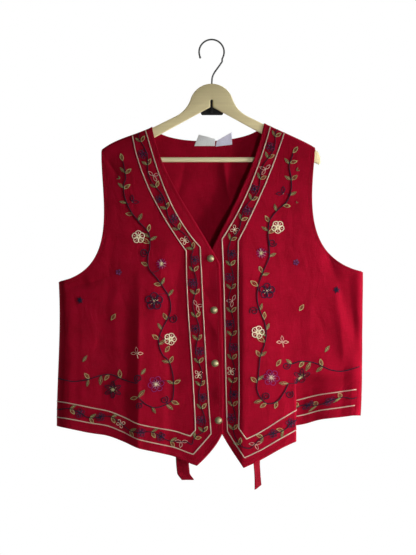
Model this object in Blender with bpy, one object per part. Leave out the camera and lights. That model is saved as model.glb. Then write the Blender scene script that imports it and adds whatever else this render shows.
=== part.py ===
"""A sleeveless embroidered V-neck vest hanging on a flat wooden hanger.

Metres, +Z up. The front faces -Y and the origin is the inside top of the hanger's hook. Left and
right in the names are the wearer's, so right_front lies at -X. Every outline is given as it shows
from the front, in x and z, and y is worked out from how far each panel stands off the seams.
"""

import math

import bpy
import numpy as np
from mathutils import Vector
from mathutils.bvhtree import BVHTree

# Cloth and its seams
CLOTH = 0.0013
SEAM_GAP = 0.0003
ROLL = 0.014
ARCH = 0.009
ARCH_POWER = 3.5
PLACKET_LIFT = 0.0011
PLACKET_MIDDLE = 0.006
PLACKET_REACH = 0.085
PLACKET_EASE = 0.045

# Outlines in the front view: x and z of the four control points of each cubic curve
RIGHT_SIDE = ((-0.316, -0.786), (-0.316, -0.688), (-0.306, -0.591), (-0.312, -0.493))
RIGHT_ARMHOLE = ((-0.312, -0.493), (-0.182, -0.466), (-0.227, -0.317), (-0.224, -0.223))
RIGHT_SHOULDER = ((-0.224, -0.223), (-0.195, -0.199), (-0.155, -0.1935), (-0.122, -0.1764))
RIGHT_NECK = ((0.016, -0.456), (-0.031, -0.365), (-0.104, -0.281), (-0.122, -0.1764))
RIGHT_EDGE = ((0.022, -0.799), (0.026, -0.685), (0.020, -0.570), (0.016, -0.456))
RIGHT_HEM = ((-0.316, -0.786), (-0.218, -0.803), (-0.125, -0.839), (-0.030, -0.866))
RIGHT_TIP_RISE = ((-0.030, -0.866), (-0.010, -0.848), (0.012, -0.824), (0.022, -0.799))
LEFT_SIDE = ((0.291, -0.764), (0.304, -0.667), (0.309, -0.571), (0.309, -0.473))
LEFT_ARMHOLE = ((0.309, -0.473), (0.181, -0.443), (0.203, -0.319), (0.211, -0.219))
LEFT_SHOULDER = ((0.108, -0.1689), (0.138, -0.1845), (0.187, -0.2035), (0.211, -0.219))
LEFT_NECK = ((-0.010, -0.450), (0.030, -0.362), (0.088, -0.268), (0.108, -0.1689))
LEFT_EDGE = ((0.011, -0.782), (-0.006, -0.680), (-0.008, -0.560), (-0.010, -0.450))
LEFT_TIP_RISE = ((0.011, -0.782), (0.026, -0.812), (0.045, -0.842), (0.065, -0.870))
LEFT_HEM = ((0.065, -0.870), (0.100, -0.853), (0.136, -0.835), (0.166, -0.819))
LEFT_HEM_BEHIND = ((0.170, -0.785), (0.223, -0.771), (0.250, -0.768), (0.291, -0.764))
BACK_NECK = ((-0.122, -0.1764), (-0.098, -0.218), (0.090, -0.215), (0.108, -0.1689))
BACK_HEM = ((-0.316, -0.786), (-0.110, -0.781), (0.100, -0.773), (0.291, -0.764))

# How far each face stands off the plane of the seams, by height
STANDING_COLUMNS = ("height", "front", "back")
STANDING = (
    (-0.880, 0.0290, 0.0115),
    (-0.700, 0.0250, 0.0110),
    (-0.550, 0.0205, 0.0105),
    (-0.400, 0.0155, 0.0095),
    (-0.260, 0.0108, 0.0088),
    (-0.160, 0.0082, 0.0082),
)
CROWN = 0.45
HALF_WIDTH = 0.310

# Soft folds, each a ridge or a trough along a straight line from its head to its foot.
# Columns: head x, head z, foot x, foot z, half width, height
FRONT_FOLDS = (
    (-0.118, -0.430, -0.128, -0.900, 0.032, 0.0052),
    (-0.170, -0.490, -0.172, -0.900, 0.018, -0.0034),
    (-0.215, -0.520, -0.212, -0.900, 0.028, -0.0026),
    (-0.288, -0.530, -0.292, -0.850, 0.014, 0.0026),
    (-0.330, -0.500, -0.262, -0.492, 0.010, -0.0020),
    (-0.080, -0.330, -0.100, -0.470, 0.022, 0.0014),
    (0.048, -0.470, 0.046, -0.900, 0.018, -0.0026),
    (0.110, -0.560, 0.124, -0.900, 0.036, 0.0032),
    (0.222, -0.400, 0.284, -0.575, 0.014, -0.0032),
    (0.278, -0.470, 0.300, -0.650, 0.013, -0.0026),
    (0.248, -0.450, 0.268, -0.620, 0.012, 0.0018),
    (0.225, -0.620, 0.240, -0.850, 0.022, 0.0022),
)
BACK_FOLDS = (
    (0.022, -0.235, 0.044, -0.360, 0.014, -0.0014),
    (-0.120, -0.440, -0.150, -0.850, 0.030, 0.0018),
    (-0.215, -0.480, -0.225, -0.850, 0.024, -0.0020),
    (0.020, -0.520, 0.012, -0.850, 0.028, -0.0018),
    (0.105, -0.470, 0.130, -0.850, 0.026, 0.0018),
    (0.215, -0.450, 0.220, -0.850, 0.024, -0.0020),
)

# The deep fold low on the left front, which swallows cloth under a hanging edge
FOLD_X = 0.166
FOLD_HEAD = -0.676
FOLD_STRIP = 0.014
FOLD_GROWTH = 0.42
FOLD_TURN = 3.0
FOLD_ONSET = 0.036
FOLD_RADIUS = 0.0028
FOLD_STEPS = 60
FOLD_RETURN = 0.75
FOLD_RETURN_REACH = 0.090

# The back wraps forward round the low left side. Columns: height, how far
WRAP = (
    (-0.764, 0.0135),
    (-0.720, 0.0100),
    (-0.666, 0.0055),
    (-0.600, 0.0015),
    (-0.540, 0.0),
)

# Shares of each stretch at which a panel has a row or a column of points
LOW_ROWS = np.linspace(0, 1, 11)
HIGH_ROWS = np.array((0, 0.08, 0.17, 0.27, 0.38, 0.50, 0.62, 0.74,
                      0.84, 0.91, 0.955, 0.979, 0.9915, 0.998, 1))
SIDE_COLUMNS = np.array((0, 0.10, 0.35, 0.70, 1.15)) * ROLL
RIGHT_WIDTH = 0.338
RIGHT_TIP = 0.846
RIGHT_EDGE_COLUMNS = np.array((0.925, 0.950, 0.975, 1.0))
RIGHT_MIDDLE_COUNT = 19
LEFT_TIP = 0.34
LEFT_EDGE_COLUMNS = np.array((0, 0.055, 0.11, 0.17))
LEFT_MIDDLE_COUNT = 10
FOLD_TURN_HEIGHTS = (-0.462, -0.464)
STRIP_COLUMNS = np.array((0, 0.07, 0.15, 0.24, 0.50, 0.76, 0.85, 0.93, 1))
REST_WIDTH = 0.121
REST_COLUMNS = np.r_[np.linspace(0, 1 - SIDE_COLUMNS[-1] / REST_WIDTH, 11),
                     1 - SIDE_COLUMNS[-2::-1] / REST_WIDTH]
NECK_START = 0.25
NECK_EASE = np.array((0.004, 0.014, 0.04, 0.14, 0.32))
NECK_COLUMNS = np.r_[0, NECK_EASE, 0.5, 1 - NECK_EASE[::-1], 1]
SHOULDER_COUNT = 6
HEM_PULL_POWER = 4

# Cream cords stitched along each front: one run down the neck and front edge, one along the hem
CORD_WIDTH = 0.0020
CORD_HEIGHT = 0.0009
CORD_LIFT = 0.00045
BEHIND_LIFT = 0.0009
CORD_STEP = 0.0125
CORD_HEM_STEP = 0.0062
CORD_HEM_LEVEL = -0.735
RIGHT_OUTER_CORD = (
    ((-0.1335, -0.1880), (-0.111, -0.266), (-0.085, -0.356), (-0.0235, -0.4215)),
    ((-0.0235, -0.4215), (-0.017, -0.548), (-0.012, -0.675), (-0.0010, -0.801)),
    ((-0.0010, -0.801), (-0.013, -0.815), (-0.025, -0.829), (-0.0373, -0.8433)),
    ((-0.0373, -0.8433), (-0.132, -0.825), (-0.219, -0.778), (-0.3155, -0.768)),
)
RIGHT_INNER_CORD = (
    ((-0.1605, -0.1995), (-0.147, -0.280), (-0.103, -0.359), (-0.0515, -0.430)),
    ((-0.0515, -0.430), (-0.052, -0.551), (-0.036, -0.673), (-0.0330, -0.794)),
    ((-0.0330, -0.794), (-0.036, -0.798), (-0.040, -0.802), (-0.0430, -0.8068)),
    ((-0.0430, -0.8068), (-0.138, -0.794), (-0.220, -0.746), (-0.3150, -0.736)),
)
LEFT_OUTER_CORD = (
    ((0.1180, -0.1830), (0.097, -0.257), (0.068, -0.336), (0.0213, -0.4055)),
    ((0.0213, -0.4055), (0.028, -0.536), (0.027, -0.666), (0.0320, -0.796)),
    ((0.0320, -0.796), (0.042, -0.812), (0.054, -0.831), (0.0667, -0.8495)),
    ((0.0667, -0.8495), (0.098, -0.834), (0.135, -0.816), (0.1655, -0.797)),
)
LEFT_OUTER_CORD_BEHIND = ((0.168, -0.7675), (0.205, -0.757), (0.250, -0.749), (0.2915, -0.744))
LEFT_INNER_CORD = (
    ((0.1458, -0.1960), (0.123, -0.266), (0.091, -0.339), (0.0542, -0.409)),
    ((0.0542, -0.409), (0.052, -0.536), (0.058, -0.663), (0.0553, -0.790)),
    ((0.0553, -0.790), (0.060, -0.797), (0.065, -0.804), (0.0708, -0.8115)),
    ((0.0708, -0.8115), (0.100, -0.797), (0.135, -0.777), (0.1655, -0.757)),
)
LEFT_INNER_CORD_BEHIND = ((0.168, -0.7355), (0.205, -0.723), (0.250, -0.718), (0.2945, -0.7115))

# Domed buttons
BUTTON_RADIUS = 0.00715
BUTTON_SEAT = 0.0050
BUTTON_RIM = 0.0012
BUTTON_EASE = 0.0005
BUTTON_HEIGHT = 0.0040
BUTTON_SIDES = 16
BUTTONS = ((-0.002, -0.445), (0.005, -0.550), (0.007, -0.658), (0.014, -0.774))

# Tie ends that hang from the back, by their centre line.
# Columns: height, x, how far behind the back's face, twist in degrees
TIE_WIDTH = 0.025
TIE_CLOTH = 0.0015
TIE_GAP = 0.00048
TIE_ROWS = 18
TIE_ABOVE_HEM = 0.008
TIE_RIGHT = (
    (-0.545, -0.0780, 0.0000, 0),
    (-0.600, -0.0780, 0.0000, 0),
    (-0.660, -0.0740, 0.0000, 0),
    (-0.720, -0.0680, 0.0000, 0),
    (-0.775, -0.0640, 0.0000, 0),
    (-0.800, -0.0620, 0.0004, 0),
    (-0.835, -0.0610, 0.0004, 2),
    (-0.868, -0.0605, 0.0000, 6),
    (-0.884, -0.0560, -0.0010, 10),
    (-0.897, -0.0490, -0.0020, 14),
)
TIE_LEFT = (
    (-0.545, 0.0880, 0.0000, 0),
    (-0.600, 0.0880, 0.0000, 0),
    (-0.660, 0.0890, 0.0000, 0),
    (-0.720, 0.0900, 0.0000, 0),
    (-0.772, 0.0905, 0.0002, 0),
    (-0.792, 0.0910, 0.0006, 12),
    (-0.815, 0.0918, -0.0020, 34),
    (-0.840, 0.0922, -0.0056, 54),
    (-0.868, 0.0925, -0.0082, 62),
    (-0.892, 0.0935, -0.0086, 62),
    (-0.912, 0.0960, -0.0086, 58),
)

# Blank ribbons sewn inside the back neck, by their corners
LABEL_CLOTH = 0.0010
LABEL_SEAM_DROP = 0.004
NECK_LABEL = ((-0.0347, -0.2150), (0.0063, -0.2150), (0.0073, -0.2009), (-0.0259, -0.1922))
CARE_LABEL = ((0.0084, -0.2163), (0.0416, -0.2120), (0.0410, -0.1873), (0.0110, -0.2046))

# Hanger: a flat wooden body with eased edges, symmetrical about x = 0
WOOD_HALF_THICKNESS = 0.006
WOOD_EASE = 0.0020
DOME_RADIUS = 0.045
DOME_MIDDLE = -0.1335
FILLET_RADIUS = 0.060
ARM_TOP = -0.1182
ARM_SLOPE = 0.5
UNDERSIDE_TOP = -0.135
UNDERSIDE_SLOPE = 0.545
UNDERSIDE_ENDS = (0.2120, 0.0060)
ARM_TIP = ((0.2085, -0.2219), (0.2140, -0.2250), (0.2185, -0.2300), (0.2218, -0.2385),
           (0.2232, -0.2450), (0.2222, -0.2508), (0.2185, -0.2535))
NOTCH_HALF_WIDTH = 0.0025
NOTCH_TOP = -0.1210
ARC_STEPS = 7
BAR_RADIUS = 0.005
BAR_HEIGHT = -0.2434
BAR_HALF_LENGTH = 0.2020
SOCKET_INNER_END = 0.170
FIT = 0.0003

# Hook: centre line of the bent wire, from inside the wood to its ball end
WIRE_RADIUS = 0.00175
BALL_RADIUS = 0.0023
HOOK_ROOT = -0.0965
HOOK_LINE = ((0.0006, -0.0870), (0.0014, -0.0760), (0.0055, -0.0663), (0.0140, -0.0542),
             (0.0215, -0.0435))
HOOK_BEND_MIDDLE = (0.0, -0.02375)
HOOK_BEND_RADIUS = 0.0255
HOOK_BEND_START = -32.0
HOOK_BEND_END = 197.0
HOOK_BEND_STEPS = 22
HOOK_BORE_RUN = 0.010
BALL_NECK = 0.0015
WIRE_SIDES = 8

# Black fitting behind the hanger's apex, with a tongue in the notch
PLATE_HALF_WIDTH = 0.0228
PLATE_MIDDLE = 0.0009
PLATE_LOW = -0.1522
PLATE_TOP = -0.1110
PLATE_CORNER = 0.004
PLATE_THICKNESS = 0.003
PLATE_EASE = 0.0005
TONGUE_ROOT = 0.006
TONGUE_HALF_WIDTH = 0.0021
TONGUE_TOP = -0.1230
TONGUE_FRONT = -0.0030

# Colour, roughness and metallic of each finish
FINISHES = {
    "crimson cloth": ((0.300, 0.006, 0.022), 0.85, 0.0),
    "cream cord": ((0.680, 0.560, 0.420), 0.80, 0.0),
    "antique brass": ((0.330, 0.290, 0.150), 0.45, 1.0),
    "pale wood": ((0.450, 0.370, 0.190), 0.55, 0.0),
    "steel wire": ((0.250, 0.260, 0.260), 0.35, 1.0),
    "black plastic": ((0.010, 0.010, 0.011), 0.50, 0.0),
    "white ribbon": ((0.620, 0.620, 0.650), 0.75, 0.0),
}


def smooth(t):
    """0 below 0, 1 above 1 and an S between them."""
    t = np.clip(t, 0, 1)
    return t * t * (3 - 2 * t)


def bezier(control, t):
    """Points of a cubic curve at the parameters t."""
    a, b, c, d = (np.array(point) for point in control)
    t = np.asarray(t, float)[:, None]
    return (1 - t) ** 3 * a + 3 * (1 - t) ** 2 * t * b + 3 * (1 - t) * t ** 2 * c + t ** 3 * d


def travelled(points):
    """The length covered at each point of a line."""
    return np.r_[0, np.cumsum(np.linalg.norm(np.diff(points, axis=0), axis=1))]


def along(control, shares):
    """Points of a cubic curve at shares of its length."""
    t = np.linspace(0, 1, 400)
    length = travelled(bezier(control, t))
    return bezier(control, np.interp(np.asarray(shares) * length[-1], length, t))


def side_rows(low, high):
    """One side of a panel: a low curve up to the turn, then a high one."""
    return np.vstack((along(low, LOW_ROWS), along(high, HIGH_ROWS)[1:]))


def row_shares():
    return np.r_[LOW_ROWS * 0.5, 0.5 + HIGH_ROWS[1:] * 0.5]


def patch(bottom, top, left, right, across):
    """The grid that four sides span: the blend across plus the blend up, less the corners' own."""
    u = np.asarray(across)[None, :, None]
    v = row_shares()[:, None, None]
    sides = (1 - u) * left[:, None] + u * right[:, None]
    ends = (1 - v) * bottom[None] + v * top[None]
    low_corners = (1 - u) * bottom[0] + u * bottom[-1]
    top_corners = (1 - u) * top[0] + u * top[-1]
    return sides + ends - (1 - v) * low_corners - v * top_corners


def line_at(control, z):
    """x of an upright curve at the heights z, held beyond its ends."""
    points = along(control, np.linspace(0, 1, 60))
    return np.interp(z, points[:, 1], points[:, 0])


def shoulder_height(x):
    """The height of the shoulder seams at x, run on past both their ends."""
    right = along(RIGHT_SHOULDER, np.linspace(0, 1, 30))
    left = along(LEFT_SHOULDER, np.linspace(0, 1, 30))
    line = np.vstack(((-0.400, -0.311), right, (-0.012, -0.120), left, (0.400, -0.314)))
    return np.interp(x, line[:, 0], line[:, 1])


def wrap(z):
    """How far the back wraps forward round the left side at the height z."""
    rows = np.array(WRAP)
    return np.interp(z, rows[:, 0], rows[:, 1])


def left_limit(z):
    return line_at(RIGHT_SIDE, z)


def right_limit(z):
    return line_at(LEFT_SIDE, z) + wrap(z)


def folds(x, z, table):
    """The sum of soft ridges: a bell across each line, fading in from its head and out past its foot."""
    total = np.zeros(np.broadcast(x, z).shape)
    for head_x, head_z, foot_x, foot_z, half_width, height in table:
        run_x, run_z = foot_x - head_x, foot_z - head_z
        length = math.hypot(run_x, run_z)
        share = ((x - head_x) * run_x + (z - head_z) * run_z) / length ** 2
        off = ((x - head_x) * run_z - (z - head_z) * run_x) / length
        fade = smooth(share / 0.4 + 0.25) * smooth((1.25 - share) / 0.25)
        total += height * np.exp(-(off / half_width) ** 2) * fade
    return total


def standing(z, face):
    rows = np.array(STANDING)
    return np.interp(z, rows[:, 0], rows[:, STANDING_COLUMNS.index(face)])


def front_out(x, z):
    """How far the fronts' common face stands forward at x and z."""
    least = STANDING[-1][1]
    crown = 1 - CROWN * (x / HALF_WIDTH) ** 2
    return least + (standing(z, "front") - least) * crown + folds(x, z, FRONT_FOLDS)


def back_out(x, z):
    return standing(z, "back") + folds(x, z, BACK_FOLDS)


def side_factor(x, z):
    """1 on the flat, rounding down to 0 at the two side limits."""
    inside = np.minimum(x - left_limit(z), right_limit(z) - x) / ROLL
    return np.sqrt(1 - (1 - np.clip(inside, 0, 1)) ** 2)


def over_shoulder(x, z):
    """0 on the shoulder seam, rounding up to 1 one arch below it."""
    drop = np.clip((shoulder_height(x) - z) / ARCH, 0, 1)
    return (1 - (1 - drop) ** ARCH_POWER) ** (1 / ARCH_POWER)


def placket_lift(x):
    return PLACKET_LIFT * smooth((PLACKET_REACH - np.abs(x - PLACKET_MIDDLE)) / PLACKET_EASE)


def fold_length(z):
    return FOLD_STRIP + FOLD_GROWTH * np.clip(FOLD_HEAD - z, 0, None)


def fold_section(share, z):
    """How far across and how deep the folded strip has run at a share of its own width.

    The strip's angle rises from 0 to its full turn, stays, and comes back to 0. The sums of the
    angle's cosine and sine are the run across and the depth.
    """
    share, z = np.broadcast_arrays(np.asarray(share, float), np.asarray(z, float))
    turn = FOLD_TURN * smooth((FOLD_HEAD - z) / FOLD_ONSET)
    bend = np.clip(2 * FOLD_RADIUS * turn / fold_length(z), 0.05, 0.5)
    steps = (np.arange(FOLD_STEPS) + 0.5) / FOLD_STEPS
    angle = turn[..., None] * smooth(steps / bend[..., None]) * smooth((1 - steps) / bend[..., None])
    counted = np.clip(share[..., None] * FOLD_STEPS - np.arange(FOLD_STEPS), 0, 1)
    step = fold_length(z) / FOLD_STEPS
    return (np.cos(angle) * counted).sum(-1) * step, (np.sin(angle) * counted).sum(-1) * step


def fold_depth(x, z):
    """How much deeper the cloth past the fold lies, easing off towards the side seam."""
    deep = fold_section(np.ones_like(x), z)[1]
    return deep * (1 - FOLD_RETURN * smooth((x - FOLD_X - FOLD_STRIP) / FOLD_RETURN_REACH))


def front_y(x, z, deeper):
    flat = -(front_out(x, z) - deeper) * side_factor(x, z)
    return -SEAM_GAP / 2 + (flat + SEAM_GAP / 2) * over_shoulder(x, z)


def right_front_surface(x, z):
    return np.stack((x, front_y(x, z, 0.0) - placket_lift(x), z), -1)


def left_front_surface(p, z):
    """The left front at p, its place across the cloth when the deep fold is opened out."""
    past = np.clip(p - FOLD_X, 0, None)
    length = fold_length(z)
    across, deep = fold_section(np.clip(past / length, 0, 1), z)
    x = np.where(p < FOLD_X, p, FOLD_X + across + np.clip(past - length, 0, None))
    beyond = past > length
    deep = np.where(beyond, fold_depth(x, z), deep)
    return np.stack((x, front_y(x, z, deep) + placket_lift(x), z), -1)


def cloth_swallowed(z):
    """The width that the deep fold takes up at the height z."""
    return fold_length(z) - fold_section(np.ones_like(z), z)[0]


def back_surface(p, z):
    """The back at p, its place across; past the left limit it wraps forward."""
    limit = right_limit(z)
    angle = np.clip(p - limit, 0, None) / ROLL
    x = np.where(p > limit, limit - ROLL * (1 - np.cos(angle)), p)
    flat = back_out(x, z) * side_factor(x, z)
    y = SEAM_GAP / 2 + (flat - SEAM_GAP / 2) * over_shoulder(x, z)
    round_front = -(front_out(x, z) - fold_depth(x, z)) * np.sin(angle)
    return np.stack((x, np.where(p > limit, round_front, y), z), -1)


def grid_normals(grid):
    """Normals of a grid whose rows go up and whose columns go towards +X, facing -Y."""
    across = np.gradient(grid, axis=1)
    up = np.gradient(grid, axis=0)
    normals = np.cross(across, up)
    return normals / np.linalg.norm(normals, axis=-1, keepdims=True)


def side_seam_frames(z, x, sign):
    """Along a side seam: the direction from back to front and the outward normal, level both."""
    turn = np.arccos(np.clip(1 - (wrap(z) if sign > 0 else 0 * z) / ROLL, -1, 1))
    depth = front_out(x, z) - (fold_depth(x, z) if sign > 0 else 0 * z)
    forward = np.stack((-sign * ROLL * np.sin(turn), -depth * np.cos(turn), 0 * z), -1)
    forward /= np.linalg.norm(forward, axis=-1, keepdims=True)
    outward = np.stack((-sign * forward[:, 1], sign * forward[:, 0], 0 * z), -1)
    return forward, outward


def finish_seams(grid, normals, front, sides):
    """Draws the seam edges half a gap back and squares the wall there."""
    rows = len(LOW_ROWS)
    for column, sign in sides:
        z, x = grid[:rows, column, 2], grid[:rows, column, 0]
        forward, outward = side_seam_frames(z, x, sign)
        grid[:rows, column] += forward * SEAM_GAP / 2 * (1 if front else -1)
        normals[:rows, column] = outward


def square_shoulder(grid, normals, first, last):
    """Turns the normals of a shoulder's top points upright, square to the seam."""
    along_seam = np.gradient(grid[-1, first:last], axis=0)
    upright = np.stack((-along_seam[:, 2], 0 * along_seam[:, 0], along_seam[:, 0]), -1)
    normals[-1, first:last] = upright / np.linalg.norm(upright, axis=-1, keepdims=True)


def wall(outer, inner, facing_back):
    """Vertices and faces of a closed wall between two matching grids."""
    rows, columns = outer.shape[:2]
    index = np.arange(rows * columns).reshape(rows, columns)
    quads = np.stack((index[:-1, :-1], index[:-1, 1:], index[1:, 1:], index[1:, :-1]), -1)
    quads = quads.reshape(-1, 4)
    ring = np.concatenate((index[0, :-1], index[:-1, -1], index[-1, :0:-1], index[:0:-1, 0]))
    following = np.roll(ring, -1)
    shift = rows * columns
    rim = np.stack((ring, ring + shift, following + shift, following), -1)
    faces = np.vstack((quads, quads[:, ::-1] + shift, rim))
    if facing_back:
        faces = faces[:, ::-1]
    return np.vstack((outer.reshape(-1, 3), inner.reshape(-1, 3))), faces


def finish_of(name):
    if name in bpy.data.materials:
        return bpy.data.materials[name]
    colour, roughness, metallic = FINISHES[name]
    material = bpy.data.materials.new(name)
    material.use_nodes = True
    shader = material.node_tree.nodes["Principled BSDF"]
    shader.inputs["Base Color"].default_value = (*colour, 1.0)
    shader.inputs["Roughness"].default_value = roughness
    shader.inputs["Metallic"].default_value = metallic
    return material


def add_object(name, vertices, faces, finish, sharp_degrees=40):
    mesh = bpy.data.meshes.new(name)
    mesh.from_pydata([tuple(map(float, v)) for v in vertices], [], [tuple(map(int, f)) for f in faces])
    mesh.validate()
    mesh.shade_smooth()
    mesh.set_sharp_from_angle(angle=math.radians(sharp_degrees))
    mesh.materials.append(finish_of(finish))
    obj = bpy.data.objects.new(name, mesh)
    bpy.context.collection.objects.link(obj)
    return obj


def add_panel(name, grid, normals, facing_back):
    """A cloth wall under its outer grid, and a tree of its outer face to seat trim on."""
    vertices, faces = wall(grid, grid - normals * CLOTH, facing_back)
    add_object(name, vertices, faces, "crimson cloth", 60)
    outer = faces[: (grid.shape[0] - 1) * (grid.shape[1] - 1)]
    return BVHTree.FromPolygons([tuple(v) for v in vertices], [tuple(map(int, f)) for f in outer])


def right_front():
    side = SIDE_COLUMNS / RIGHT_WIDTH
    middle = np.linspace(side[-1], RIGHT_EDGE_COLUMNS[0], RIGHT_MIDDLE_COUNT)[1:-1]
    across = np.r_[side, middle, RIGHT_EDGE_COLUMNS]
    hem = across < RIGHT_TIP
    bottom = np.vstack((along(RIGHT_HEM, across[hem] / RIGHT_TIP),
                        along(RIGHT_TIP_RISE, (across[~hem] - RIGHT_TIP) / (1 - RIGHT_TIP))))
    bottom[hem.sum()] = RIGHT_HEM[-1]
    top = along(RIGHT_SHOULDER, across)
    outer_side = side_rows(RIGHT_SIDE, RIGHT_ARMHOLE)
    inner_side = side_rows(RIGHT_EDGE, RIGHT_NECK)
    plan = patch(bottom, top, outer_side, inner_side, across)
    grid = right_front_surface(plan[..., 0], plan[..., 1])
    normals = grid_normals(grid)
    finish_seams(grid, normals, True, ((0, -1),))
    square_shoulder(grid, normals, 0, grid.shape[1])
    return add_panel("right_front", grid, normals, False)


def left_front():
    """Three patches side by side: the part before the deep fold, the folded strip and the rest."""
    middle = np.linspace(LEFT_EDGE_COLUMNS[-1], 1, LEFT_MIDDLE_COUNT)[1:]
    before = np.r_[LEFT_EDGE_COLUMNS, middle]
    rise = before < LEFT_TIP
    bottom = np.vstack((along(LEFT_TIP_RISE, before[rise] / LEFT_TIP),
                        along(LEFT_HEM, (before[~rise] - LEFT_TIP) / (1 - LEFT_TIP))))
    bottom[rise.sum()] = LEFT_HEM[0]
    shoulder_x = (FOLD_X, FOLD_X + FOLD_STRIP)
    hem_heights = (LEFT_HEM[-1][1], LEFT_HEM_BEHIND[0][1])
    levels = []
    for x, hem_z, turn_z in zip(shoulder_x, hem_heights, FOLD_TURN_HEIGHTS):
        top_z = float(shoulder_height(x))
        low = hem_z + (turn_z - hem_z) * LOW_ROWS
        high = turn_z + (top_z - turn_z) * HIGH_ROWS
        levels.append(np.r_[low, high[1:]])
    fold_side = np.stack((np.full_like(levels[0], FOLD_X), levels[0]), -1)
    shoulder = along(LEFT_SHOULDER, np.linspace(0, 1, 200))
    top_x = LEFT_SHOULDER[0][0] + (FOLD_X - LEFT_SHOULDER[0][0]) * before
    top = np.stack((top_x, np.interp(top_x, shoulder[:, 0], shoulder[:, 1])), -1)
    plan_before = patch(bottom, top, side_rows(LEFT_EDGE, LEFT_NECK), fold_side, before)

    strip_z = levels[0][:, None] + (levels[1] - levels[0])[:, None] * STRIP_COLUMNS
    strip_p = FOLD_X + STRIP_COLUMNS * fold_length(strip_z)

    far_x = FOLD_X + fold_section(np.ones_like(levels[1]), levels[1])[0]
    far_side = np.stack((far_x, levels[1]), -1)
    rest = REST_COLUMNS
    behind = along(LEFT_HEM_BEHIND, rest)
    behind[:, 0] += (far_x[0] - LEFT_HEM_BEHIND[0][0]) * (1 - rest)
    top_x = shoulder_x[1] + (LEFT_SHOULDER[-1][0] - shoulder_x[1]) * rest
    top = np.stack((top_x, np.interp(top_x, shoulder[:, 0], shoulder[:, 1])), -1)
    plan_rest = patch(behind, top, far_side, side_rows(LEFT_SIDE, LEFT_ARMHOLE), rest)

    rest_p = plan_rest[..., 0] + cloth_swallowed(plan_rest[..., 1])
    p = np.hstack((plan_before[..., 0], strip_p[:, 1:], rest_p[:, 1:]))
    z = np.hstack((plan_before[..., 1], strip_z[:, 1:], plan_rest[:, 1:, 1]))
    grid = left_front_surface(p, z)
    grid[:, -1, 0] = side_rows(LEFT_SIDE, LEFT_ARMHOLE)[:, 0]
    normals = grid_normals(grid)
    finish_seams(grid, normals, True, ((-1, 1),))
    square_shoulder(grid, normals, 0, grid.shape[1])
    return add_panel("left_front", grid, normals, False)


def back():
    low_left = along(RIGHT_SIDE, LOW_ROWS)
    low_right = along(LEFT_SIDE, LOW_ROWS)
    turn = np.arccos(1 - wrap(low_right[:, 1]) / ROLL)
    low_right[:, 0] = right_limit(low_right[:, 1]) + ROLL * turn
    left = np.vstack((low_left, along(RIGHT_ARMHOLE, HIGH_ROWS)[1:]))
    right = np.vstack((low_right, along(LEFT_ARMHOLE, HIGH_ROWS)[1:]))
    width = right[0, 0] - left[0, 0]
    neck_end = 1 - NECK_START
    side = SIDE_COLUMNS / width
    across = np.r_[side, np.linspace(side[-1], NECK_START, SHOULDER_COUNT)[1:-1],
                   NECK_START + (neck_end - NECK_START) * NECK_COLUMNS,
                   np.linspace(neck_end, 1 - side[-1], SHOULDER_COUNT)[1:], 1 - side[-2::-1]]
    first = across <= NECK_START
    last = across >= neck_end
    neck = ~first & ~last
    top = np.vstack((along(RIGHT_SHOULDER, across[first] / NECK_START),
                     along(BACK_NECK, (across[neck] - NECK_START) / (neck_end - NECK_START)),
                     along(LEFT_SHOULDER, (across[last] - neck_end) / (1 - neck_end))))
    bottom = along(BACK_HEM, across)
    bottom[:, 0] += (right[0, 0] - BACK_HEM[-1][0]) * across ** HEM_PULL_POWER
    plan = patch(bottom, top, left, right, across)
    grid = back_surface(plan[..., 0], plan[..., 1])
    normals = -grid_normals(grid)
    finish_seams(grid, normals, False, ((0, -1), (-1, 1)))
    square_shoulder(grid, normals, 0, int(first.sum()))
    square_shoulder(grid, normals, int((first | neck).sum()), grid.shape[1])
    return add_panel("back", grid, normals, True)


def surface_normals(surface, across, z):
    small = 0.0005
    side = surface(across + small, z) - surface(across - small, z)
    up = surface(across, z + small) - surface(across, z - small)
    normals = np.cross(side, up)
    return normals / np.linalg.norm(normals, axis=-1, keepdims=True)


def cord_route(curves, ends_at_side):
    """Places along joined curves, closer together along the hem and round a side's roll."""
    places = []
    for curve in curves:
        length = travelled(along(curve, np.linspace(0, 1, 200)))[-1]
        hem = curve[0][1] + curve[-1][1] < 2 * CORD_HEM_LEVEL
        count = max(2, round(length / (CORD_HEM_STEP if hem else CORD_STEP)))
        shares = np.linspace(0, 1, count + 1)
        if ends_at_side and curve is curves[-1]:
            roll = 1 - SIDE_COLUMNS[::-1] / length
            shares = np.r_[shares[shares < roll[0] - CORD_HEM_STEP / length / 2], roll]
        places.append(along(curve, shares)[:-1])
    places.append(along(curves[-1], (1,)))
    return np.vstack(places)


def add_cord(name, route, surface, tree, lift=CORD_LIFT):
    """A low four-sided cord whose points are the panel's own, moved out."""
    across, z = route[:, 0], route[:, 1]
    ideal = surface(across, z)
    outward = surface_normals(surface, across, z)
    seat = np.array([tree.find_nearest(Vector(point))[0] for point in ideal])
    forward = np.gradient(seat, axis=0)
    forward /= np.linalg.norm(forward, axis=-1, keepdims=True)
    aside = np.cross(forward, outward)
    aside /= np.linalg.norm(aside, axis=-1, keepdims=True)
    profile = ((-0.5, 0), (0.5, 0), (0.25, 1), (-0.25, 1))
    rings = [seat + aside * CORD_WIDTH * a + outward * (lift + CORD_HEIGHT * h) for a, h in profile]
    vertices = np.stack(rings, 1).reshape(-1, 3)
    faces = []
    for i in range(len(route) - 1):
        for k in range(4):
            a, b = i * 4 + k, i * 4 + (k + 1) % 4
            faces.append((a, a + 4, b + 4, b))
    last = (len(route) - 1) * 4
    faces += [(0, 1, 2, 3), (last + 3, last + 2, last + 1, last)]
    add_object(name, vertices, faces, "cream cord")


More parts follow.
